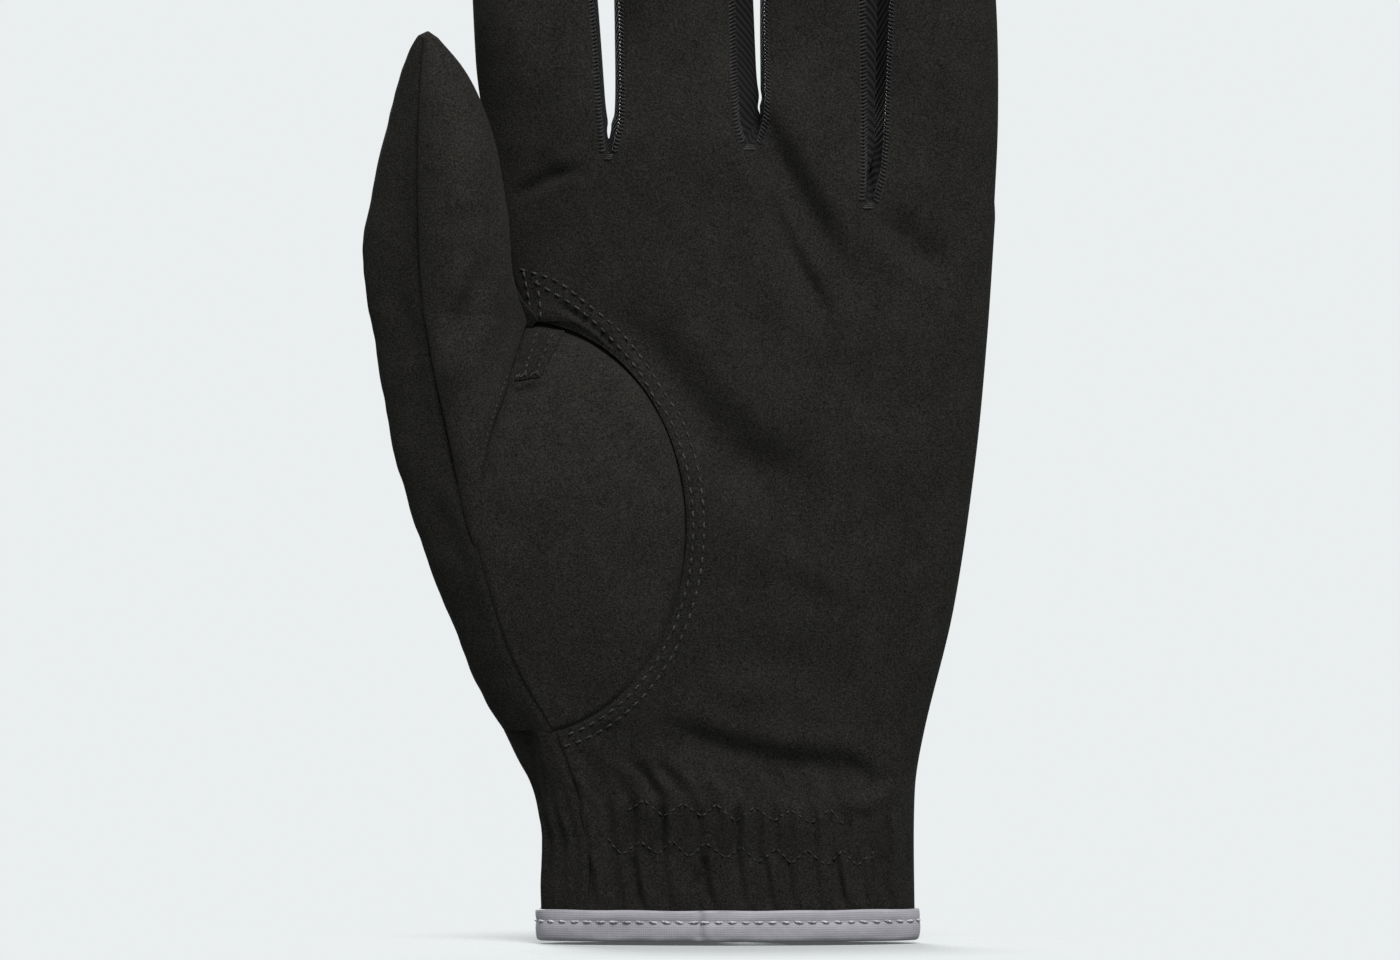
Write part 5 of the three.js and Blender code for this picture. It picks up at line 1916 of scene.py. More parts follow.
@dataclass
class Thumb:
    """Front of the thumb and the strip round its side and back."""

    form: ThumbForm = THUMB_FORM
    columns: int = 44
    row_pitch: float = 0.75
    seam_depth: float = 0.42
    seam_width: float = 0.6
    back_seam_depth: float = 0.12
    foot_sink: float = 0.8
    front_seed: int = 41
    side_seed: int = 43
    front_cut: Cut = Cut(24.0, 100.0, 1530.0)
    side_cut: Cut = Cut(46.0, 132.0, 4600.0)
    hem: Pair = (0.9, 2.2)
    hem_top: float = 118.0
    hem_aim: Point = (-20.0, -3.0, 0.0)
    bend_start: Point = (-51.0, -9.0, 113.0)
    bend_end: Point = (-51.0, -9.0, 132.0)
    front_folds: tuple[Fold, ...] = (
        Fold(((-40.4, 120.0), (-46.0, 109.0), (-51.7, 97.0)), -1.0, 3.0, 2.4, 0.2),
        Fold(((-42.0, 126.0), (-46.5, 115.5), (-51.5, 106.0)), 0.9, 2.6, 2.2, 0.2),
        Fold(((-52.5, 128.0), (-47.5, 131.0), (-42.5, 130.0)), 0.35, 2.6, 2.2, 0.2),
    )
    side_folds: tuple[Fold, ...] = (
        Fold(((-62.0, 120.0), (-58.0, 112.0), (-55.0, 102.0)), 0.45, 2.6, 2.2, 0.2),
        Fold(((-56.0, 84.0), (-51.0, 74.0), (-47.5, 64.0)), 0.4, 2.6, 2.2, 0.2),
    )

    def bend(self, made: Piece) -> None:
        """Bakes a piece's placement into its mesh."""
        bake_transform(made)

    def creased(self, points: Array, face: Face, folds: Sequence[Fold], seed: int, right: float) -> Array:
        """Presses folds and a soft unevenness into a net and rolls its sides into their seams.

        Args:
            points: rows and columns of the bare cloth.
            face: which way its outer face looks.
            folds: the folds to press in.
            seed: start of the random numbers.
            right: how deep the last column is rolled in.

        Returns:
            The moved points.
        """
        normals = net_normals(points, face)
        x, z = points[..., 0], points[..., 2]
        from_left, from_right = edge_runs(points)
        calm = smoothstep(np.minimum(from_left, from_right), 0.3, 4.0)
        height = relief_of(x, z, (Rough(seed, 15.0, 0.15), Rough(seed + 1, 5.0, 0.05)), folds)
        moved = points + normals * (height * calm)[..., None]
        broad = smoothstep(from_left[:, -1:], 1.0, 8.0)[..., None]
        rolled = sewn_in(moved, normals, self.seam_depth, right, self.seam_width)
        return lerp(points, rolled, broad)

    def hemmed(self, points: Array) -> Array:
        """Adds a narrow hem to the strip's last column that runs in under the back of the hand.

        Args:
            points: rows and columns of the strip.

        Returns:
            The strip's points with the hem's columns.
        """
        seam = points[:, -1]
        inward = unit((np.array(self.hem_aim) - seam) * np.array([1.0, 1.0, 0.0]))
        low = 1.0 - smoothstep(seam[:, 2:], self.hem_top - 6.0, self.hem_top)
        hem = [seam + low * inward * reach for reach in self.hem]
        return np.concatenate([points, np.stack(hem, axis=1)], axis=1)

    def build(self) -> None:
        """Builds the thumb's cloth."""
        form = self.form
        shares = crowded(self.columns, 0.6)
        levels = rows_between(form.side_left, form.split + 0.05, form.tip, self.row_pitch)
        front = form.front_net(levels, shares)
        front = self.creased(front, Face.ALONG, self.front_folds, self.front_seed, self.seam_depth)
        front[..., 1] += self.foot_sink * (1.0 - smoothstep(levels, form.split, form.split + 0.5))[:, None]
        self.front_tree = surface_tree(front)
        made = cloth_shell("thumb_front_cloth", front, Face.ALONG, form.hand.cloth)
        nodes = ["thumb_front_base", "thumb_front_bend", "thumb_front"]
        # The thumb's front wears the lighter copy of the suede, which paints brighter light on it.
        dress(made, Finishes.LIT_THUMB_SUEDE, nodes, self.front_cut)
        self.bend(made)
        levels = rows_between(form.side_left, form.hand.wrist_top, form.tip, self.row_pitch)
        side = form.side_net(levels, shares)
        side = self.creased(side, Face.AGAINST, self.side_folds, self.side_seed, self.back_seam_depth)
        side = self.hemmed(side)
        made = cloth_shell("thumb_side_cloth", side, Face.AGAINST, form.hand.cloth)
        nodes = ["thumb_back_base", "thumb_back_bend", "thumb_back"]
        dress(made, Finishes.SUEDE, nodes, self.side_cut)
        self.bend(made)


@dataclass
class Finger:
    """One finger: a front and a back of suede, with side walls of stretch cloth towards its neighbours."""

    number: int
    name: str
    tip_z: float
    depth: float
    tip: Pair
    swell: tuple[Profile | None, Profile | None]
    left: Line
    right: Line
    neighbours: tuple[str | None, str | None]
    cut: Cut
    wall_cuts: tuple[Cut | None, Cut | None]
    form: HandForm = FORM
    wall_half: float = 4.6
    cap: float = 10.0
    tip_flat: float = 0.0004
    merge: float = 24.0
    carry: float = 34.0
    bend_length: float = 24.0
    row_pitch: float = 0.75
    cap_rows: int = 22
    wall_columns: int = 16
    seam_depth: float = 0.12
    side_seam_depth: float = 0.5
    seam_width: float = 0.6
    peaks: Pair = (0.5, 0.5)
    overcast_pitch: float = 0.7
    overcast_reach: float = 0.55
    overcast_slant: float = 0.16
    overcast_radius: float = 0.22
    overcast_taper: float = 0.6
    overcast_sides: int = 5
    overcast_steps: tuple[float, ...] = (2.0, 1.0, 0.0, 1.0, 2.0)
    overcast_lift: tuple[float, ...] = (-0.12, 0.1, 0.1, 0.08, -0.12)
    overcast_ridge: float = 0.08
    first_seed: int = 50

    def __post_init__(self) -> None:
        """Finds the finger's roots, its rise and the rows from root to tip."""
        self.roots = self.form.finger_roots[self.number]
        self.rise = self.tip_z - self.roots[0][1]
        straight = np.arange(0.0, self.rise - self.cap, self.row_pitch)
        turn = np.linspace(0.0, np.pi / 2, self.cap_rows + 1)
        rounded = self.rise - self.cap + (self.cap - self.tip_flat) * np.sin(turn)
        self.heights = np.concatenate([straight, rounded]) / self.rise
        self.sides: dict[Side, Array] = {}

    def edges(self) -> tuple[Array, Array, Array]:
        """Left and right edge points (x, z) of each row, and how full the row is towards the rounded tip.

        Returns:
            The left edge, the right edge and the fullness from 0 to 1.
        """
        lines = []
        for root, points, tip in zip(self.roots, (self.left, self.right), self.tip):
            z = lerp(root[1], self.tip_z, self.heights)
            line = Profile((root[1], root[0]), *points, (self.tip_z, tip))
            lines.append(np.stack([line(z), z], axis=-1))
        mean_z = (lines[0][:, 1] + lines[1][:, 1]) / 2
        from_tip = np.clip((self.tip_z - mean_z) / self.cap, 0.0, 1.0)
        full = np.sqrt(1.0 - (1.0 - from_tip) ** 2)
        middle = (lines[0][:, 0] + lines[1][:, 0]) / 2
        for line in lines:
            line[:, 0] = lerp(middle, line[:, 0], full)
        return lines[0], lines[1], full

    def points(self, side: Side, root: KnuckleRow) -> Array:
        """Outer face of one side, from the knuckle row to the tip.

        Args:
            side: front or back.
            root: the hand's last row below this finger.

        Returns:
            Rows and columns of points.
        """
        left, right, full = self.edges()
        shares = crowded(self.form.finger_columns, self.form.column_crowd)[None, :]
        x = lerp(left[:, :1], right[:, :1], shares)
        z = lerp(left[:, 1:], right[:, 1:], shares)
        has_wall = [neighbour is not None for neighbour in self.neighbours]
        edge = lerp(self.wall_half * has_wall[0], self.wall_half * has_wall[1], shares) * full[:, None]
        depth = edge + (self.depth * full[:, None] - edge) * arch(shares, 0.6, 0.6)
        above = (self.heights * self.rise)[:, None]
        own = smoothstep(above, 0.0, self.merge)
        y = lerp(root.points[None, :, 1], side.outward * depth, own)
        carried = root.relief(x, z) * root.calm * (1.0 - smoothstep(above, 0.0, self.carry))
        made = np.stack([x, y, z], axis=-1)
        from_left, from_right = edge_runs(made)
        calm = smoothstep(np.minimum(from_left, from_right), 0.3, 4.0) * own * full[:, None]
        seed = self.first_seed + 4 * self.number + (side is Side.BACK)
        rough = relief_of(x, z, (Rough(seed, 14.0, 0.16), Rough(seed + 20, 5.0, 0.05)))
        made[..., 1] += side.outward * (carried + rough * calm)
        return made

    def bend(self, made: Piece) -> None:
        """Bakes a piece's placement into its mesh.

        Args:
            made: the piece.
        """
        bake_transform(made)

    def build_side(self, side: Side, root: KnuckleRow, below: Array, root_normals: Array) -> None:
        """Builds the front or the back of the finger.

        Args:
            side: front or back.
            root: the hand's last row below this finger.
            below: the hand's finished last rows below this finger.
            root_normals: normals of the hand's last row, which are changed to run on into the finger.
        """
        points = self.points(side, root)
        depths = [
            self.side_seam_depth if neighbour is None else self.seam_depth for neighbour in self.neighbours
        ]
        rolled = sewn_in(points, net_normals(points, side.face), depths[0], depths[1], self.seam_width)
        above = (self.heights * self.rise)[:, None, None]
        points = lerp(points, rolled, smoothstep(above, 0.0, 6.0))
        points[0] = below[-1]
        normals = net_normals(np.concatenate([below, points[1:]]), side.face)[len(below) - 1 :]
        root_normals[1:-1] = normals[0, 1:-1]
        self.sides[side] = points
        name = f"{self.name}_{side.value}"
        made = cloth_shell(f"{name}_cloth", points, side.face, self.form.cloth, normals)
        nodes = [f"{name}_bend", name]
        dress(made, Finishes.SUEDE, nodes, self.cut)
        self.bend(made)

    def wall_points(self, number: int, column: int, outward: float) -> Array:
        """Outer face of one side wall, from the front's edge to the back's edge.

        Args:
            number: 0 for the left wall, 1 for the right wall.
            column: the sides' column at this wall.
            outward: which way along x the wall looks.

        Returns:
            Rows and columns of points.
        """
        shares = np.linspace(0.0, 1.0, self.wall_columns + 1)[None, :]
        front, back = self.sides[Side.FRONT][:, column], self.sides[Side.BACK][:, column]
        points = lerp(front[:, None, :], back[:, None, :], shares[..., None])
        _, _, full = self.edges()
        crotch = self.form.crotches[self.number - 1 + number]
        above = (self.heights * self.rise)[:, None]
        saddle = np.sin(np.pi * shares)
        points[..., 2] += crotch.rise * saddle * (1.0 - smoothstep(above, 0.0, 3.0 * crotch.rise))
        bulge = (self.swell[number](front[:, 2]) * full)[:, None]
        start = crotch.pinch * crotch.width / 2 * (1.0 + crotch.lean * outward)
        lean = math.log(0.5) / math.log(self.peaks[number])
        shape = np.sin(np.pi * shares ** lerp(1.0, lean, smoothstep(above, 0.0, 6.0)))
        points[..., 0] += outward * lerp(start, np.maximum(bulge, start), smoothstep(above, 0.0, 2.5)) * shape
        return points

    def build_overcast(self, number: int, column: int, wall: Array, face: Face) -> None:
        """Builds the overcast threads along the two seams of a side wall.

        Args:
            number: 0 for the left wall, 1 for the right wall.
            column: the sides' column at this wall.
            wall: outer face of the wall.
            face: which way the wall's outer face looks.
        """
        reach = self.overcast_reach * np.array(self.overcast_steps)
        wall_normals = net_normals(wall, face)
        for side, cloth in self.sides.items():
            from_seam = (cloth, net_normals(cloth, side.face), wall, wall_normals)
            backwards = (column == -1, column == -1, side is Side.BACK, side is Side.BACK)
            cloth, cloth_out, panel, panel_out = (
                net[:, ::-1] if turned else net for net, turned in zip(from_seam, backwards)
            )
            band = np.empty((len(cloth), len(reach), 3))
            for place, (along, up) in enumerate(zip(reach, self.overcast_lift)):
                net, out = (cloth, cloth_out) if place < 2 else (panel, panel_out)
                band[:, place] = at_distance(net, along) + at_distance(out, along, net) * up
            band[:, 2] += self.overcast_ridge * cloth_out[:, 0]
            paths = self.slanted(band)
            upward = np.tile((0.0, 0.0, 1.0), (len(paths), 1))
            name = f"{self.name}_overcast_{number}_{side.value}"
            made = threads(
                name, paths, upward, self.overcast_radius, self.overcast_taper, self.overcast_sides
            )
            dress(made, Finishes.OVERCAST)
            self.bend(made)

    def slanted(self, band: Array) -> Array:
        """Paths of slanted stitches at an even pitch along a band of points over a seam.

        Args:
            band: rows of points across the seam, the middle one on it.

        Returns:
            The points of each stitch.
        """
        run = run_along(band[:, 2])
        places = np.arange(0.2, run[-1] - self.cap / 2, self.overcast_pitch)
        steps = (np.arange(band.shape[1]) - 2.0) * self.overcast_slant
        lines = [
            [np.interp(places + step, run, band[:, number, axis]) for axis in range(3)]
            for number, step in enumerate(steps)
        ]
        return np.moveaxis(np.array(lines), 2, 0)

    def build_walls(self) -> None:
        """Builds the side walls towards the neighbouring fingers."""
        for number, neighbour in enumerate(self.neighbours):
            if neighbour is None:
                continue
            column, outward, face = [(0, -1.0, Face.AGAINST), (-1, 1.0, Face.ALONG)][number]
            points = self.wall_points(number, column, outward)
            self.build_overcast(number, column, points, face)
            made = cloth_shell(f"{self.name}_wall_{neighbour}_side", points, face, self.form.cloth)
            nodes = [f"{self.name}_fourchette_{neighbour}_side"]
            dress(made, Finishes.STRETCH, nodes, self.wall_cuts[number])
            self.bend(made)


RING_LITTLE_SWELL = Profile((133.2, 0.9), (137.0, 1.8), (150.0, 2.2), (171.0, 3.05))
FINGERS = (
    Finger(
        0, "index", 214.0, 8.2, (-48.2, -29.3), (None, Profile((142.5, 0.5), (147.0, 1.0), (171.0, 1.2))),
        ((160.0, -46.2),), ((149.0, -23.1), (171.0, -24.8)), (None, "middle"),
        Cut(30.0, 74.0, 1780.0), (None, Cut(17.0, 73.0, 800.0)),
    ),
    Finger(
        1, "middle", 224.0, 8.4, (-20.6, -1.6),
        (
            Profile((142.5, 0.5), (147.0, 1.1), (171.0, 1.25)),
            Profile((144.9, 2.0), (147.0, 3.4), (149.5, 4.1), (154.0, 4.2), (171.0, 4.2)),
        ),
        ((149.0, -19.6), (165.0, -19.5)), ((149.0, 1.6), (171.0, 0.5)), ("index", "ring"),
        Cut(26.0, 83.0, 1780.0), (Cut(17.5, 83.0, 900.0), Cut(20.0, 82.0, 1110.0)),
    ),
    Finger(
        2, "ring", 217.0, 8.0, (7.2, 23.4),
        (Profile((144.9, 0.2), (148.5, 0.4), (153.0, 1.0), (171.0, 1.1)), RING_LITTLE_SWELL),
        ((150.0, 6.7), (168.0, 6.8)), ((139.0, 24.7), (171.0, 24.2)), ("middle", "little"),
        Cut(23.0, 85.0, 1500.0), (Cut(19.0, 75.0, 840.0), Cut(18.0, 85.0, 1000.0)), peaks=(0.5, 0.28),
    ),
    Finger(
        3, "little", 194.0, 7.4, (30.4, 46.8), (RING_LITTLE_SWELL, None),
        ((141.0, 28.0), (168.0, 29.4)), ((150.0, 49.4), (171.0, 49.0)), ("ring", None),
        Cut(28.0, 66.0, 1460.0), (Cut(17.5, 62.0, 720.0), None), peaks=(0.72, 0.5),
    ),
)


def laid_layer(
    name: str,
    tree: BVHTree,
    places: Array,
    side: Side,
    lift: float,
    thickness: float,
    soft_edge: float = 0.0,
    relief: Array | None = None,
    split: tuple[int, Array] | None = None,
) -> Piece:
    """A layer of cloth or tape that lies on a panel or under it.

    Args:
        name: the piece's name.
        tree: search tree of the panel.
        places: rows and columns of (x, z) places.
        side: the panel's side of the hand.
        lift: height of the layer's lower face over the panel's outer face.
        thickness: thickness of the layer.
        soft_edge: how far its edges are pressed down.
        relief: further height at each place.
        split: the slit in the layer, as for a shell.

    Returns:
        The new object.
    """
    points, normals = dropped_on(tree, places, side)
    for _ in range(LAYER_ROUNDS):
        around = normals[:-2, 1:-1] + normals[2:, 1:-1] + normals[1:-1, :-2] + normals[1:-1, 2:]
        normals[1:-1, 1:-1] += around
        normals = unit(normals)
    left, right = edge_runs(points)
    low, high = (run.T for run in edge_runs(np.swapaxes(points, 0, 1)))
    from_edge = np.minimum(np.minimum(left, right), np.minimum(low, high))
    height = lift + thickness - soft_edge * bell(from_edge, LAYER_EDGE)
    if relief is not None:
        height = height + relief
    raised = points + normals * height[..., None]
    return cloth_shell(name, raised, side.face, thickness, None, split)


@dataclass
class BallSeam:
    """Two rows of stitches round the ball of the thumb, and the small gusset in the thumb's crotch."""

    hand: Hand
    stitch: Stitch = Stitch(0.2, 0.2, pitch=2.1, share=0.66)
    edge_stitch: Stitch = Stitch(0.12, 0.1, pitch=1.1, share=0.6)
    gusset_stitch: Stitch = Stitch(0.17, 0.18, pitch=1.6, share=0.62)
    bartack_stitch: Stitch = Stitch(0.16, 0.25, 0.2)
    bartack_threads: int = 9
    bartack_seed: int = 5
    inner_bottom: float = math.radians(-74.0)
    outer_bottom: float = math.radians(-76.0)
    outer_top: Line = (
        (-37.3, 121.9), (-31.1, 119.8), (-25.5, 115.6), (-19.7, 110.7), (-15.3, 105.2), (-11.5, 99.2),
    )
    inner_top: Line = (
        (-34.6, 119.4), (-27.7, 115.2), (-22.4, 110.7), (-16.9, 104.4), (-13.3, 98.6),
    )
    apex_pair: tuple[Line, ...] = (
        ((-37.0, 121.0), (-36.2, 117.0), (-35.7, 113.6)),
        ((-34.6, 119.4), (-34.2, 116.5), (-34.0, 113.6)),
    )
    thumb_edge: Line = (
        (-40.2, 102.3), (-42.0, 97.0), (-43.8, 91.0), (-45.0, 85.5),
    )
    gusset: Line = (
        (-38.6, 101.6), (-34.0, 102.3), (-36.6, 111.0), (-29.6, 110.6),
    )
    gusset_net: tuple[int, int] = (14, 18)
    gusset_lift: float = -0.3
    gusset_thickness: float = 0.8
    gusset_soft_edge: float = 0.18
    gusset_rows: Pair = (0.3, 0.72)

    def row(self, top: Sequence[Pair], outset: float, bottom: float) -> Array:
        """Points (x, z) of a row from the top of the oval round to its lower end.

        Args:
            top: the row's points above the oval's side.
            outset: distance of the row outside the seam.
            bottom: angle of its lower end.

        Returns:
            The row's points, close together.
        """
        form = self.hand.form
        start = math.atan2(
            (top[-1][1] - form.oval_z) / (form.oval_radius_z + outset),
            (top[-1][0] - form.oval_x) / (form.oval_radius_x + outset),
        )
        angles = np.linspace(start - 0.12, bottom, 60)
        round_it = form.oval_point(angles, outset)[:, [0, 2]]
        upper = SeamLine([*top, tuple(round_it[0])]).at(np.linspace(0.0, 1.0, 40))
        return np.vstack([upper[:-1], round_it])

    def build(self, thumb_tree: BVHTree) -> None:
        """Builds the rows and the gusset.

        Args:
            thumb_tree: search tree of the thumb's front.
        """
        rows = {
            "oval_thread_inner": self.row(self.inner_top, self.hand.row_outsets[0], self.inner_bottom),
            "oval_thread_outer": self.row(self.outer_top, self.hand.row_outsets[1], self.outer_bottom),
        }
        for name, line in rows.items():
            made = row_of_stitches(f"{name}_stitches", self.hand.palm_tree, line, self.stitch)
            dress(made, Finishes.DARK_THREAD, [name], body="hand")
        for number, points in enumerate(self.apex_pair):
            line = SeamLine(points).at(np.linspace(0.0, 1.0, 20))
            made = row_of_stitches(f"crotch_stitches_{number}", self.hand.palm_tree, line, self.stitch)
            dress(made, Finishes.DARK_THREAD, body="hand")
        line = SeamLine(self.thumb_edge).at(np.linspace(0.0, 1.0, 30))
        made = row_of_stitches("thumb_edge_stitches", thumb_tree, line, self.edge_stitch)
        dress(made, Finishes.FINE_THREAD, body="hand")
        self.build_gusset()

    def build_gusset(self) -> None:
        """Builds the small four-cornered gusset with its stitches and its bartack."""
        low_left, low_right, high_left, high_right = (np.array(corner) for corner in self.gusset)
        columns, rows = self.gusset_net
        across = np.linspace(0.0, 1.0, columns)[None, :, None]
        up = np.linspace(0.0, 1.0, rows)[:, None, None]
        places = lerp(lerp(low_left, low_right, across), lerp(high_left, high_right, across), up)
        made = laid_layer(
            "thumb_gusset_cloth", self.hand.thenar_tree, places, Side.FRONT,
            self.gusset_lift, self.gusset_thickness, self.gusset_soft_edge,
        )
        dress(made, Finishes.SUEDE, ["thumb_gusset"], body="hand")
        points = np.array([vertex.co for vertex in made.data.vertices]) / MILLIMETRE
        tree = surface_tree(points[: rows * columns].reshape(rows, columns, 3))
        along = np.linspace(0.12, 0.9, 12)[:, None]
        for number, share in enumerate(self.gusset_rows):
            line = lerp(lerp(low_left, low_right, share), lerp(high_left, high_right, share), along)
            made = row_of_stitches(f"gusset_stitches_{number}", tree, line, self.gusset_stitch)
            dress(made, Finishes.DARK_THREAD, body="hand")
        random = np.random.default_rng(self.bartack_seed)
        count = self.bartack_threads
        corner = lerp(low_left, low_right, np.linspace(0.0, 0.9, count)[:, None])
        starts = corner + random.uniform((-0.3, 0.1), (0.3, 0.5), (count, 2))
        ends = corner + random.uniform((-0.2, 1.1), (0.8, 1.9), (count, 2))
        made = stitches("gusset_bartack", tree, starts, ends, self.bartack_stitch)
        dress(made, Finishes.DARK_THREAD, body="hand")


def turn_outward(made: Piece) -> None:
    """Turns all faces of a closed mesh outwards.

    Args:
        made: the piece.
    """
    mesh = bmesh.new()
    mesh.from_mesh(made.data)
    bmesh.ops.recalc_face_normals(mesh, faces=mesh.faces)
    mesh.to_mesh(made.data)
    mesh.free()


@dataclass
class Cuff:
    """Folded binding tape at the cuff's edge, and the elastic inside the wrist with its two zigzag seams."""

    hand: Hand
    slit_clear: float = 3.4
    pitch: float = 0.6
    smooth: int = 8
    stitch_z: float = 3.64
    stitch_pitch: float = 2.45
    binding_stitch: Stitch = Stitch(0.23, 0.22, 0.25)
    zigzag_stitch: Stitch = Stitch(0.15, 0.16)
    zigzag_marks: tuple[float, ...] = (0.02, 0.36, 0.70)
    zigzag_length: float = 0.26
    face_wave: Rough = Rough(71, 9.0, 0.10)
    edge_wave: Rough = Rough(72, 16.0, 0.10)
    section: Line = (
        (0.32, 5.62), (0.45, 5.78), (0.75, 5.8), (0.95, 5.66), (1.02, 5.3), (1.05, 4.7), (1.04, 4.2),
        (1.03, 3.9), (1.02, 3.64), (1.03, 3.4), (1.05, 3.0), (1.07, 2.2), (1.06, 1.4), (0.98, 0.7),
        (0.75, 0.25), (0.35, 0.04), (-0.5, 0.0), (-1.2, 0.06), (-1.65, 0.35), (-1.88, 0.9), (-1.9, 2.5),
        (-1.9, 5.2), (-1.75, 5.72), (-1.4, 5.78), (-1.22, 5.6), (-1.2, 3.0), (-1.15, 1.5), (-0.4, 1.3),
        (0.22, 1.5), (0.3, 3.0),
    )
    face_offset: float = 0.9
    upper_rim: float = 4.0
    groove_depth: float = 0.16
    groove_width: float = 0.45
    gather_depth: float = 0.45
    gather_x: float = -5.1
    stitch_seed: int = 73
    binding_cut: Cut = Cut(14.5, 150.0, 2170.0, Held.FOLDED)
    elastic_cut: Cut = Cut(15.7, 49.0, 760.0, Held.STRETCHED, ("palm_cloth",))
    elastic: tuple[float, float, float, float] = (-20.0, 26.0, 13.0, 28.0)
    elastic_thickness: float = 1.0
    elastic_net: tuple[int, int] = (70, 20)
    elastic_gap: float = 0.2
    elastic_soft_edge: float = 0.15
    upper_turns: tuple[float, float, int, int] = (-18.2, 6.6, 12, 1)
    lower_turns: tuple[float, float, int, int] = (-22.0, 6.08, 16, 0)
    upper_z: Pair = (26.2, 23.5)
    lower_z: Pair = (18.9, 16.2)
    zigzag_rise: float = 2.8
    zigzag_stray: float = 0.4

    def loop(self) -> tuple[Array, Array]:
        """The cuff's outline from the slit round the palm and back to the slit.

        Returns:
            The outline's points and the outward direction at each.
        """
        back, palm = self.hand.back[0], self.hand.palm[0]
        side = self.hand.wrist_side_points()[0]
        right = back[back[:, 0] > self.slit_clear]
        left = back[back[:, 0] < -self.slit_clear]
        start, end = right[0].copy(), left[-1].copy()
        start[0], end[0] = self.slit_clear, -self.slit_clear
        line = np.vstack([start[None], right, palm[::-1], side, left, end[None]])
        line, _ = evenly_along(line, self.pitch)
        for _ in range(self.smooth):
            line[1:-1] = (line[:-2] + 2.0 * line[1:-1] + line[2:]) / 4.0
        along = unit(np.gradient(line, axis=0))
        outward = np.stack([along[:, 1], -along[:, 0], np.zeros(len(line))], axis=-1)
        centre = line.mean(axis=0)
        if ((line - centre) * outward).sum() < 0:
            outward = -outward
        return line, unit(outward)

    def build(self) -> None:
        """Builds the tape, its stitches, the elastic and the zigzag seams."""
        self.build_binding()
        self.build_elastic()
        self.build_zigzag("elastic_thread_upper", self.upper_turns, self.upper_z)
        self.build_zigzag("elastic_thread_lower", self.lower_turns, self.lower_z)

    def build_binding(self) -> None:
        """Builds the folded tape and its line of stitches."""
        line, outward = self.loop()
        section = np.array(self.section)
        run = np.arange(len(line)) * self.pitch
        offsets = np.broadcast_to(section[:, 0], (len(line), len(section))).copy()
        heights = np.broadcast_to(section[:, 1], offsets.shape).copy()
        face = section[:, 0] > self.face_offset
        wave = self.face_wave(run[:, None] * np.ones(len(section)), 2.2 * section[None, :, 1])
        groove = -self.groove_depth * bell(section[:, 1] - self.stitch_z, self.groove_width)[None, :]
        on_palm = line[:, 1] < 0
        beside = line[:, 0] - self.gather_x
        gather = -self.gather_depth * (bell(beside, 0.55) - 0.5 * bell(beside - 1.3, 0.8)) * on_palm
        offsets[:, face] += (wave + groove + gather[:, None])[:, face]
        heights += self.edge_wave(run, np.zeros_like(run))[:, None] * (section[None, :, 1] > self.upper_rim)
        flat_line = line * np.array([1.0, 1.0, 0.0])
        points = flat_line[:, None, :] + outward[:, None, :] * offsets[..., None]
        points[..., 2] = heights
        rows, columns = offsets.shape
        index = np.arange(rows * columns).reshape(rows, columns)
        following = np.roll(index, -1, axis=1)
        quads = np.stack([index[:-1], following[:-1], following[1:], index[1:]], axis=-1).reshape(-1, 4)
        caps = [index[0][::-1].tolist(), index[-1].tolist()]
        made = mesh_object("cuff_binding_tape", points.reshape(-1, 3), [*quads.tolist(), *caps])
        flat = np.stack(np.broadcast_arrays(run[:, None], run_along(section)[None, :]), axis=-1)
        set_flat_places(made, flat.reshape(-1, 2))
        turn_outward(made)
        dress(made, Finishes.TAPE, ["cuff_binding"], self.binding_cut, body="hand")
        column = int(np.argmin(np.abs(section[:, 1] - self.stitch_z) + 10.0 * ~face))
        seam = points[:, column]
        places, direction = evenly_along(seam, self.stitch_pitch)
        at_stitch, at_line = np.linspace(0, 1, len(places)), np.linspace(0, 1, len(line))
        out = unit(np.stack([np.interp(at_stitch, at_line, outward[:, axis]) for axis in range(3)], axis=-1))
        random = np.random.default_rng(self.stitch_seed)
        half = direction * self.stitch_pitch * random.uniform(0.34, 0.42, (len(places), 1))
        half[:, 2] += random.uniform(-0.05, 0.2, len(places))
        paths = stitch_paths(places - half, places + half, out, self.binding_stitch)[1:-1]
        made = threads("binding_stitches", paths, out[1:-1], self.binding_stitch.radius)
        dress(made, Finishes.GREY_THREAD, ["binding_thread"], body="hand")

    def build_elastic(self) -> None:
        """Builds the elastic band inside the palm side of the wrist."""
        left, right, low, high = self.elastic
        columns, rows = self.elastic_net
        grid = np.meshgrid(np.linspace(left, right, columns), np.linspace(low, high, rows))
        lift = -self.hand.form.cloth - self.elastic_gap - self.elastic_thickness
        made = laid_layer(
            "wrist_elastic_band", self.hand.palm_tree, np.stack(grid, axis=-1), Side.FRONT,
            lift, self.elastic_thickness, self.elastic_soft_edge,
        )
        dress(made, Finishes.ELASTIC, ["wrist_elastic"], self.elastic_cut, body="hand")

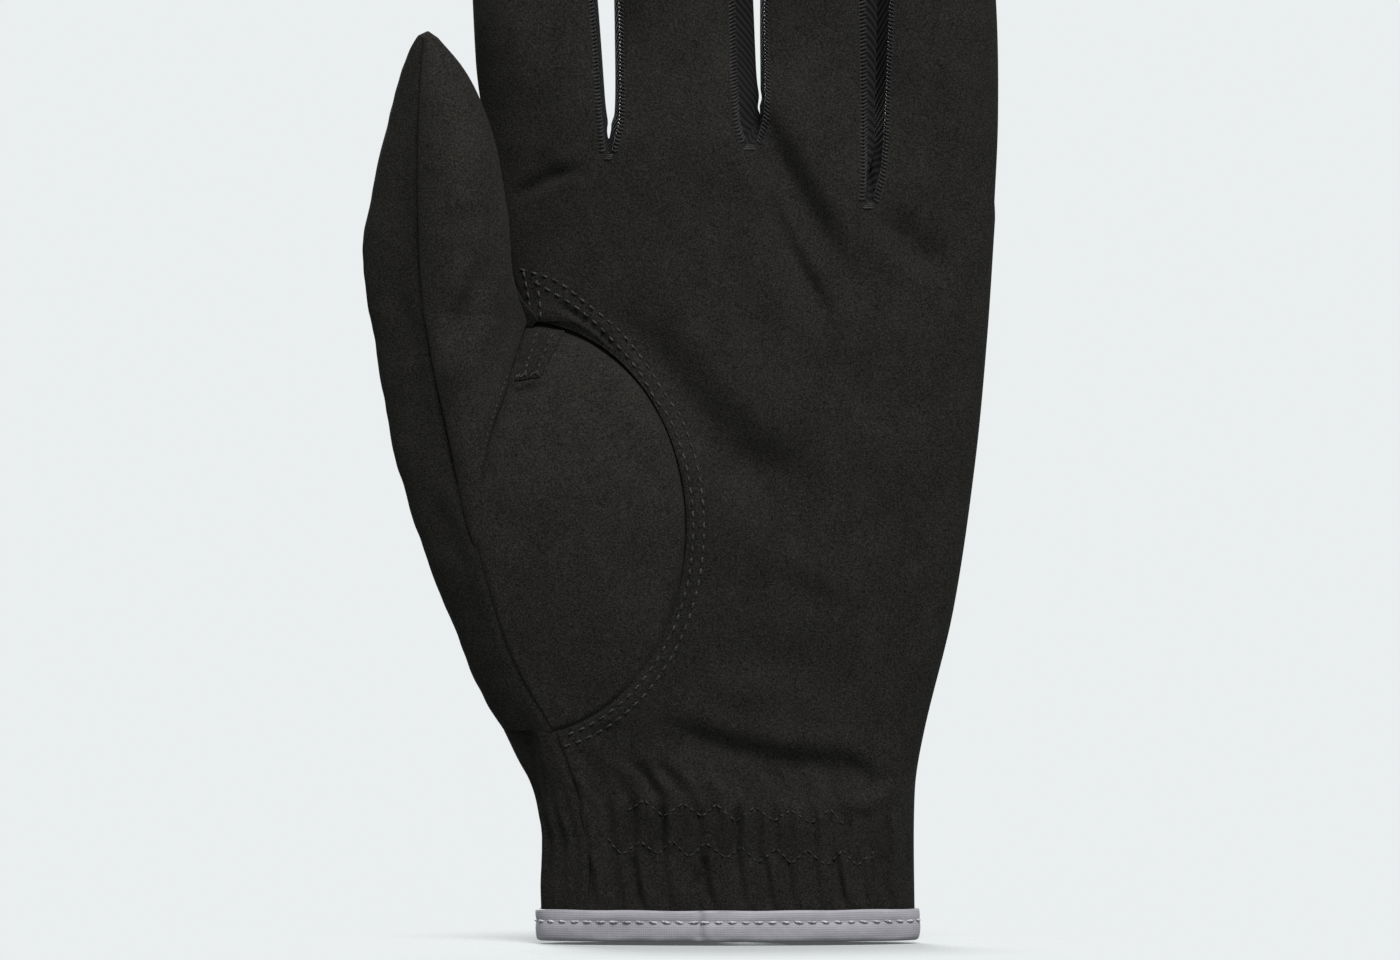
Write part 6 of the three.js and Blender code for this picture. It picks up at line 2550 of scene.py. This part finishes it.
    def build_zigzag(
        self, name: str, zigzag: tuple[float, float, int, int], heights: Pair
    ) -> None:
        """Builds one zigzag seam, with small stitches on each leg.

        Args:
            name: name of the solid that it stands for.
            zigzag: first turn's x, distance from peak to peak, number of legs, and 1 for a low first turn.
            heights: the peaks' z at the first and the last turn.
        """
        first, pitch, legs, low = zigzag
        turns = np.arange(legs + 1)
        x = first + turns * pitch / 2
        z = lerp(heights[0], heights[1], turns / legs) - self.zigzag_rise * ((turns + low) % 2)
        random = np.random.default_rng(legs)
        stray = random.uniform(-self.zigzag_stray, self.zigzag_stray, (legs + 1, 2))
        line = np.stack([x, z], axis=-1) + stray
        starts, ends = [], []
        for start, end in zip(line[:-1], line[1:]):
            for share in self.zigzag_marks:
                starts.append(lerp(start, end, share))
                ends.append(lerp(start, end, share + self.zigzag_length))
        places = (np.array(starts), np.array(ends))
        made = stitches(f"{name}_stitches", self.hand.palm_tree, *places, self.zigzag_stitch)
        dress(made, Finishes.FINE_THREAD, [name], body="hand")


@dataclass
class Closure:
    """Slit facing, sewn tab base, tab with hooks, and the loop patch on the back of the wrist."""

    hand: Hand
    z: float = 33.0
    half: float = 15.0
    root: float = -27.0
    hinge: float = -17.0
    end: float = 31.0
    nose: float = 14.0
    nose_share: float = 0.95
    patch: Pair = (4.0, 29.0)
    hooks: Pair = (6.0, 28.2)
    patch_half: float = 11.0
    patch_thickness: float = 0.8
    tab_thickness: float = 1.2
    gap: float = 0.3
    bend: float = 6.0
    facing: tuple[float, float, float] = (8.0, 9.0, 66.0)
    facing_thickness: float = 0.7
    base_net: tuple[int, int] = (16, 40)
    patch_net: tuple[int, int] = (40, 36)
    tab_net: tuple[int, int] = (64, 44)
    base_soft_edge: float = 0.5
    patch_soft_edge: float = 0.2
    tab_soft_edge: float = 0.45
    tab_start: float = 0.4
    tab_crowd: float = 1.3
    facing_net: tuple[int, int] = (12, 60)
    facing_gap: float = 0.15
    tab_wave: Rough = Rough(81, 12.0, 0.12)
    stitch: Stitch = Stitch(0.2, 0.18, pitch=2.4)
    stitch_half: float = 0.8
    stitch_inset: float = 2.0
    base_cut: Cut = Cut(10.5, 30.5, 320.0, Held.LAID, ("back_cloth",))
    tab_cut: Cut = Cut(30.5, 50.0, 1450.0, Held.LAID, ("hook_patch_tape",))
    hook_cut: Cut = Cut(20.5, 23.5, 470.0, Held.LAID, ("loop_patch_tape",))
    loop_cut: Cut = Cut(22.0, 26.2, 570.0, Held.LAID, ("back_cloth",))
    facing_cut: Cut = Cut(16.5, 58.0, 800.0, Held.LAID, ("back_cloth",))

    def tab_half(self, x: Array) -> Array:
        """Half height of the tab at x, falling in an ellipse towards the end of its nose."""
        into = np.clip((x - (self.end - self.nose)) / self.nose, 0.0, 1.0)
        return self.half * np.sqrt(1.0 - (self.nose_share * into) ** 2)

    def strip(self, x: Array, half: Array, rows: int) -> Array:
        """Places (x, z) of a strip round the tab's middle line."""
        up = np.linspace(-1.0, 1.0, rows)[:, None]
        return np.stack(np.broadcast_arrays(x[None, :], self.z + up * half[None, :]), axis=-1)

    def build(self) -> None:
        """Builds the closure's pieces."""
        tree = self.hand.back_tree
        hook_lift = 2 * self.gap + self.patch_thickness
        tab_lift = hook_lift + self.patch_thickness + self.gap
        tab_face = tab_lift + self.tab_thickness
        columns, rows = self.base_net
        x = np.linspace(self.root, self.hinge, columns)
        places = self.strip(x, np.full(columns, self.half), rows)
        made = laid_layer(
            "closure_base_cloth", tree, places, Side.BACK, self.gap, tab_face - self.gap, self.base_soft_edge
        )
        dress(made, Finishes.SUEDE, ["closure_base"], self.base_cut, body="hand")
        columns, rows = self.patch_net
        x = np.linspace(*self.patch, columns)
        places = self.strip(x, np.full(columns, self.patch_half), rows)
        pile = (self.patch_thickness, self.patch_soft_edge)
        made = laid_layer("loop_patch_tape", tree, places, Side.BACK, self.gap, *pile)
        dress(made, Finishes.LOOPS, ["loop_patch"], self.loop_cut, body="hand")
        x = np.linspace(*self.hooks, columns)
        half = np.minimum(self.patch_half, self.tab_half(x)) - self.patch_thickness
        places = self.strip(x, half, rows)
        made = laid_layer("hook_patch_tape", tree, places, Side.BACK, hook_lift, *pile)
        dress(made, Finishes.HOOKS, ["hook_patch"], self.hook_cut, body="closure")
        self.build_tab(tree, tab_lift)
        self.build_facing(tree)

    def build_tab(self, tree: BVHTree, lift: float) -> None:
        """Builds the tab and the stitches along its edge.

        Args:
            tree: search tree of the back.
            lift: height of the tab's lower face over the back.
        """
        columns, rows = self.tab_net
        to_end = (1.0 - np.linspace(0.0, 1.0, columns)) ** self.tab_crowd
        x = lerp(self.hinge + self.tab_start, self.end, 1.0 - to_end)
        places = self.strip(x, self.tab_half(x), rows)
        wavy = self.tab_wave(places[..., 0], places[..., 1])
        made = laid_layer(
            "closure_tab_cloth", tree, places, Side.BACK, lift, self.tab_thickness, self.tab_soft_edge, wavy
        )
        dress(made, Finishes.SUEDE, ["closure_tab"], self.tab_cut)
        self.bend_open(made)
        points = np.array([vertex.co for vertex in made.data.vertices]) / MILLIMETRE
        top = surface_tree(points[: rows * columns].reshape(rows, columns, 3))
        inset = self.stitch_inset
        edge = np.linspace(self.hinge + inset, self.end - inset, 50)
        half = self.tab_half(edge + inset) - inset
        upper = np.stack([edge, self.z + half], axis=-1)
        lower = np.stack([edge, self.z - half], axis=-1)[::-1]
        places, direction = evenly_along(np.vstack([upper, lower]), self.stitch.pitch)
        ends = (places - direction * self.stitch_half, places + direction * self.stitch_half)
        made = stitches("tab_stitches", top, *ends, self.stitch, Side.BACK)
        dress(made, Finishes.DARK_THREAD, ["tab_thread"])
        self.bend_open(made)

    def bend_open(self, made: Piece) -> None:
        """Bakes the placement of a piece of the tab into its mesh.

        Args:
            made: the piece.
        """
        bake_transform(made)

    def build_facing(self, tree: BVHTree) -> None:
        """Builds the facing inside the slit.

        Args:
            tree: search tree of the back.
        """
        half_width, low, high = self.facing
        side = np.linspace(-half_width, 0.0, self.facing_net[0])
        columns = np.concatenate([side, -side[::-1]])
        rows = np.linspace(low, high, self.facing_net[1])
        places = np.stack(np.meshgrid(columns, rows), axis=-1)
        half = self.hand.slit_opening(rows)
        sign = np.where(np.arange(len(columns)) < len(side), -1.0, 1.0)
        ease = 1.0 - np.abs(columns) / half_width
        places[..., 0] += ease[None, :] * sign[None, :] * half[:, None]
        lift = -self.hand.form.cloth - self.facing_gap - self.facing_thickness
        made = laid_layer(
            "slit_facing_cloth", tree, places, Side.BACK, lift, self.facing_thickness, 0.0, None,
            (len(side) - 1, half > self.hand.slit_least),
        )
        dress(made, Finishes.STRETCH, ["slit_facing"], self.facing_cut, body="hand")


@dataclass
class Studio:
    """Pale room with soft light, a floor disc and the camera straight in front of the palm."""

    backdrop: Colour = (0.823, 0.855, 0.863)
    view_width: float = 254.8
    centre: Pair = (-5.1, 83.7)
    distance: float = 2120.0
    sensor: float = 36.0
    view_end: float = 50.0
    lamp_size: float = 0.5
    key_power: float = 40.0
    back_power: float = 30.0
    back_place: Point = (-0.3, 0.9, 0.75)
    key_place: Point = (0.22, -0.74, 0.95)
    lamp_aim: Point = (0.0, 0.0, 0.09)
    floor_radius: float = 80.0
    floor_corners: int = 64
    floor_fade: float = 0.3
    floor_cover: float = 0.9
    floor_z: float = -0.6
    floor_tint: Colour = (0.195, 0.2022, 0.2042)

    def light(self) -> None:
        """Sets up the pale room, a large soft lamp above the camera and a weaker one behind the glove."""
        scene = bpy.context.scene
        scene.view_settings.view_transform = "Standard"
        world = bpy.data.worlds.new("pale_room")
        world.use_nodes = True
        world.node_tree.nodes["Background"].inputs["Color"].default_value = (*self.backdrop, 1.0)
        scene.world = world
        self.lamp("soft_key", self.key_power, self.key_place)
        self.lamp("soft_back", self.back_power, self.back_place)

    def lamp(self, name: str, power: float, place: Point) -> None:
        """Hangs one large soft lamp that looks at the middle of the glove.

        Args:
            name: the lamp's name.
            power: its power in watts.
            place: where it hangs, in metres.
        """
        lamp = bpy.data.lights.new(name, "AREA")
        lamp.energy = power
        lamp.size = self.lamp_size
        made = bpy.data.objects.new(name, lamp)
        made.location = place
        aim = Vector(self.lamp_aim) - made.location
        made.rotation_euler = aim.to_track_quat("-Z", "Y").to_euler()
        bpy.context.scene.collection.objects.link(made)

    def camera(self) -> None:
        """Places the camera for the photograph's view."""
        scene = bpy.context.scene
        lens = bpy.data.cameras.new("front_view")
        lens.sensor_width = self.sensor
        lens.lens = self.sensor * self.distance / self.view_width
        lens.clip_end = self.view_end
        made = bpy.data.objects.new("front_view", lens)
        x, z = self.centre
        made.location = Vector((x, -self.distance, z)) * MILLIMETRE
        made.rotation_euler = (math.pi / 2, 0.0, 0.0)
        scene.collection.objects.link(made)
        scene.camera = made

    def floor(self) -> None:
        """Lays a pale disc under the cuff that fades into the room."""
        count = self.floor_corners
        angles = np.linspace(0.0, 2 * np.pi, count, endpoint=False)
        ring = np.stack([np.cos(angles), np.sin(angles), np.zeros(count)], axis=-1)
        points = ring * self.floor_radius + np.array([0.0, 0.0, self.floor_z])
        made = mesh_object("studio_floor", points, [list(range(count))])
        nodes = FinishNodes("pale_floor")
        nodes.surface(roughness=0.9, specular=0.05, sheen=0.0, sheen_tint=(1.0, 1.0, 1.0))
        stops = [(0.3, toned(self.floor_tint, 0.99)), (0.7, self.floor_tint)]
        nodes.colour(nodes.ramp(nodes.noise(80.0, 2.0), stops))
        tree = nodes.tree
        distance = tree.nodes.new("ShaderNodeVectorMath")
        distance.operation = "LENGTH"
        tree.links.new(nodes.places(), distance.inputs[0])
        fade = tree.nodes.new("ShaderNodeMapRange")
        fade.interpolation_type = "SMOOTHSTEP"
        fade.inputs["From Min"].default_value = self.floor_fade * self.floor_radius * MILLIMETRE
        fade.inputs["From Max"].default_value = self.floor_radius * MILLIMETRE
        fade.inputs["To Min"].default_value = self.floor_cover
        fade.inputs["To Max"].default_value = 0.0
        tree.links.new(distance.outputs["Value"], fade.inputs["Value"])
        tree.links.new(fade.outputs["Result"], nodes.shader.inputs["Alpha"])
        made.data.materials.append(nodes.relief(nodes.bump(nodes.noise(3.0, 2.0), 0.02)))


def main() -> None:
    """Builds the glove's sub-assemblies in order, then the studio."""
    logging.basicConfig(level=logging.INFO, format="%(message)s")
    hand = Hand()
    hand.build(FINGERS)
    hand.build_crotches()
    thumb = Thumb()
    thumb.build()
    BallSeam(hand).build(thumb.front_tree)
    Cuff(hand).build()
    Closure(hand).build()
    studio = Studio()
    studio.light()
    studio.camera()
    studio.floor()


if __name__ == "__main__":
    main()
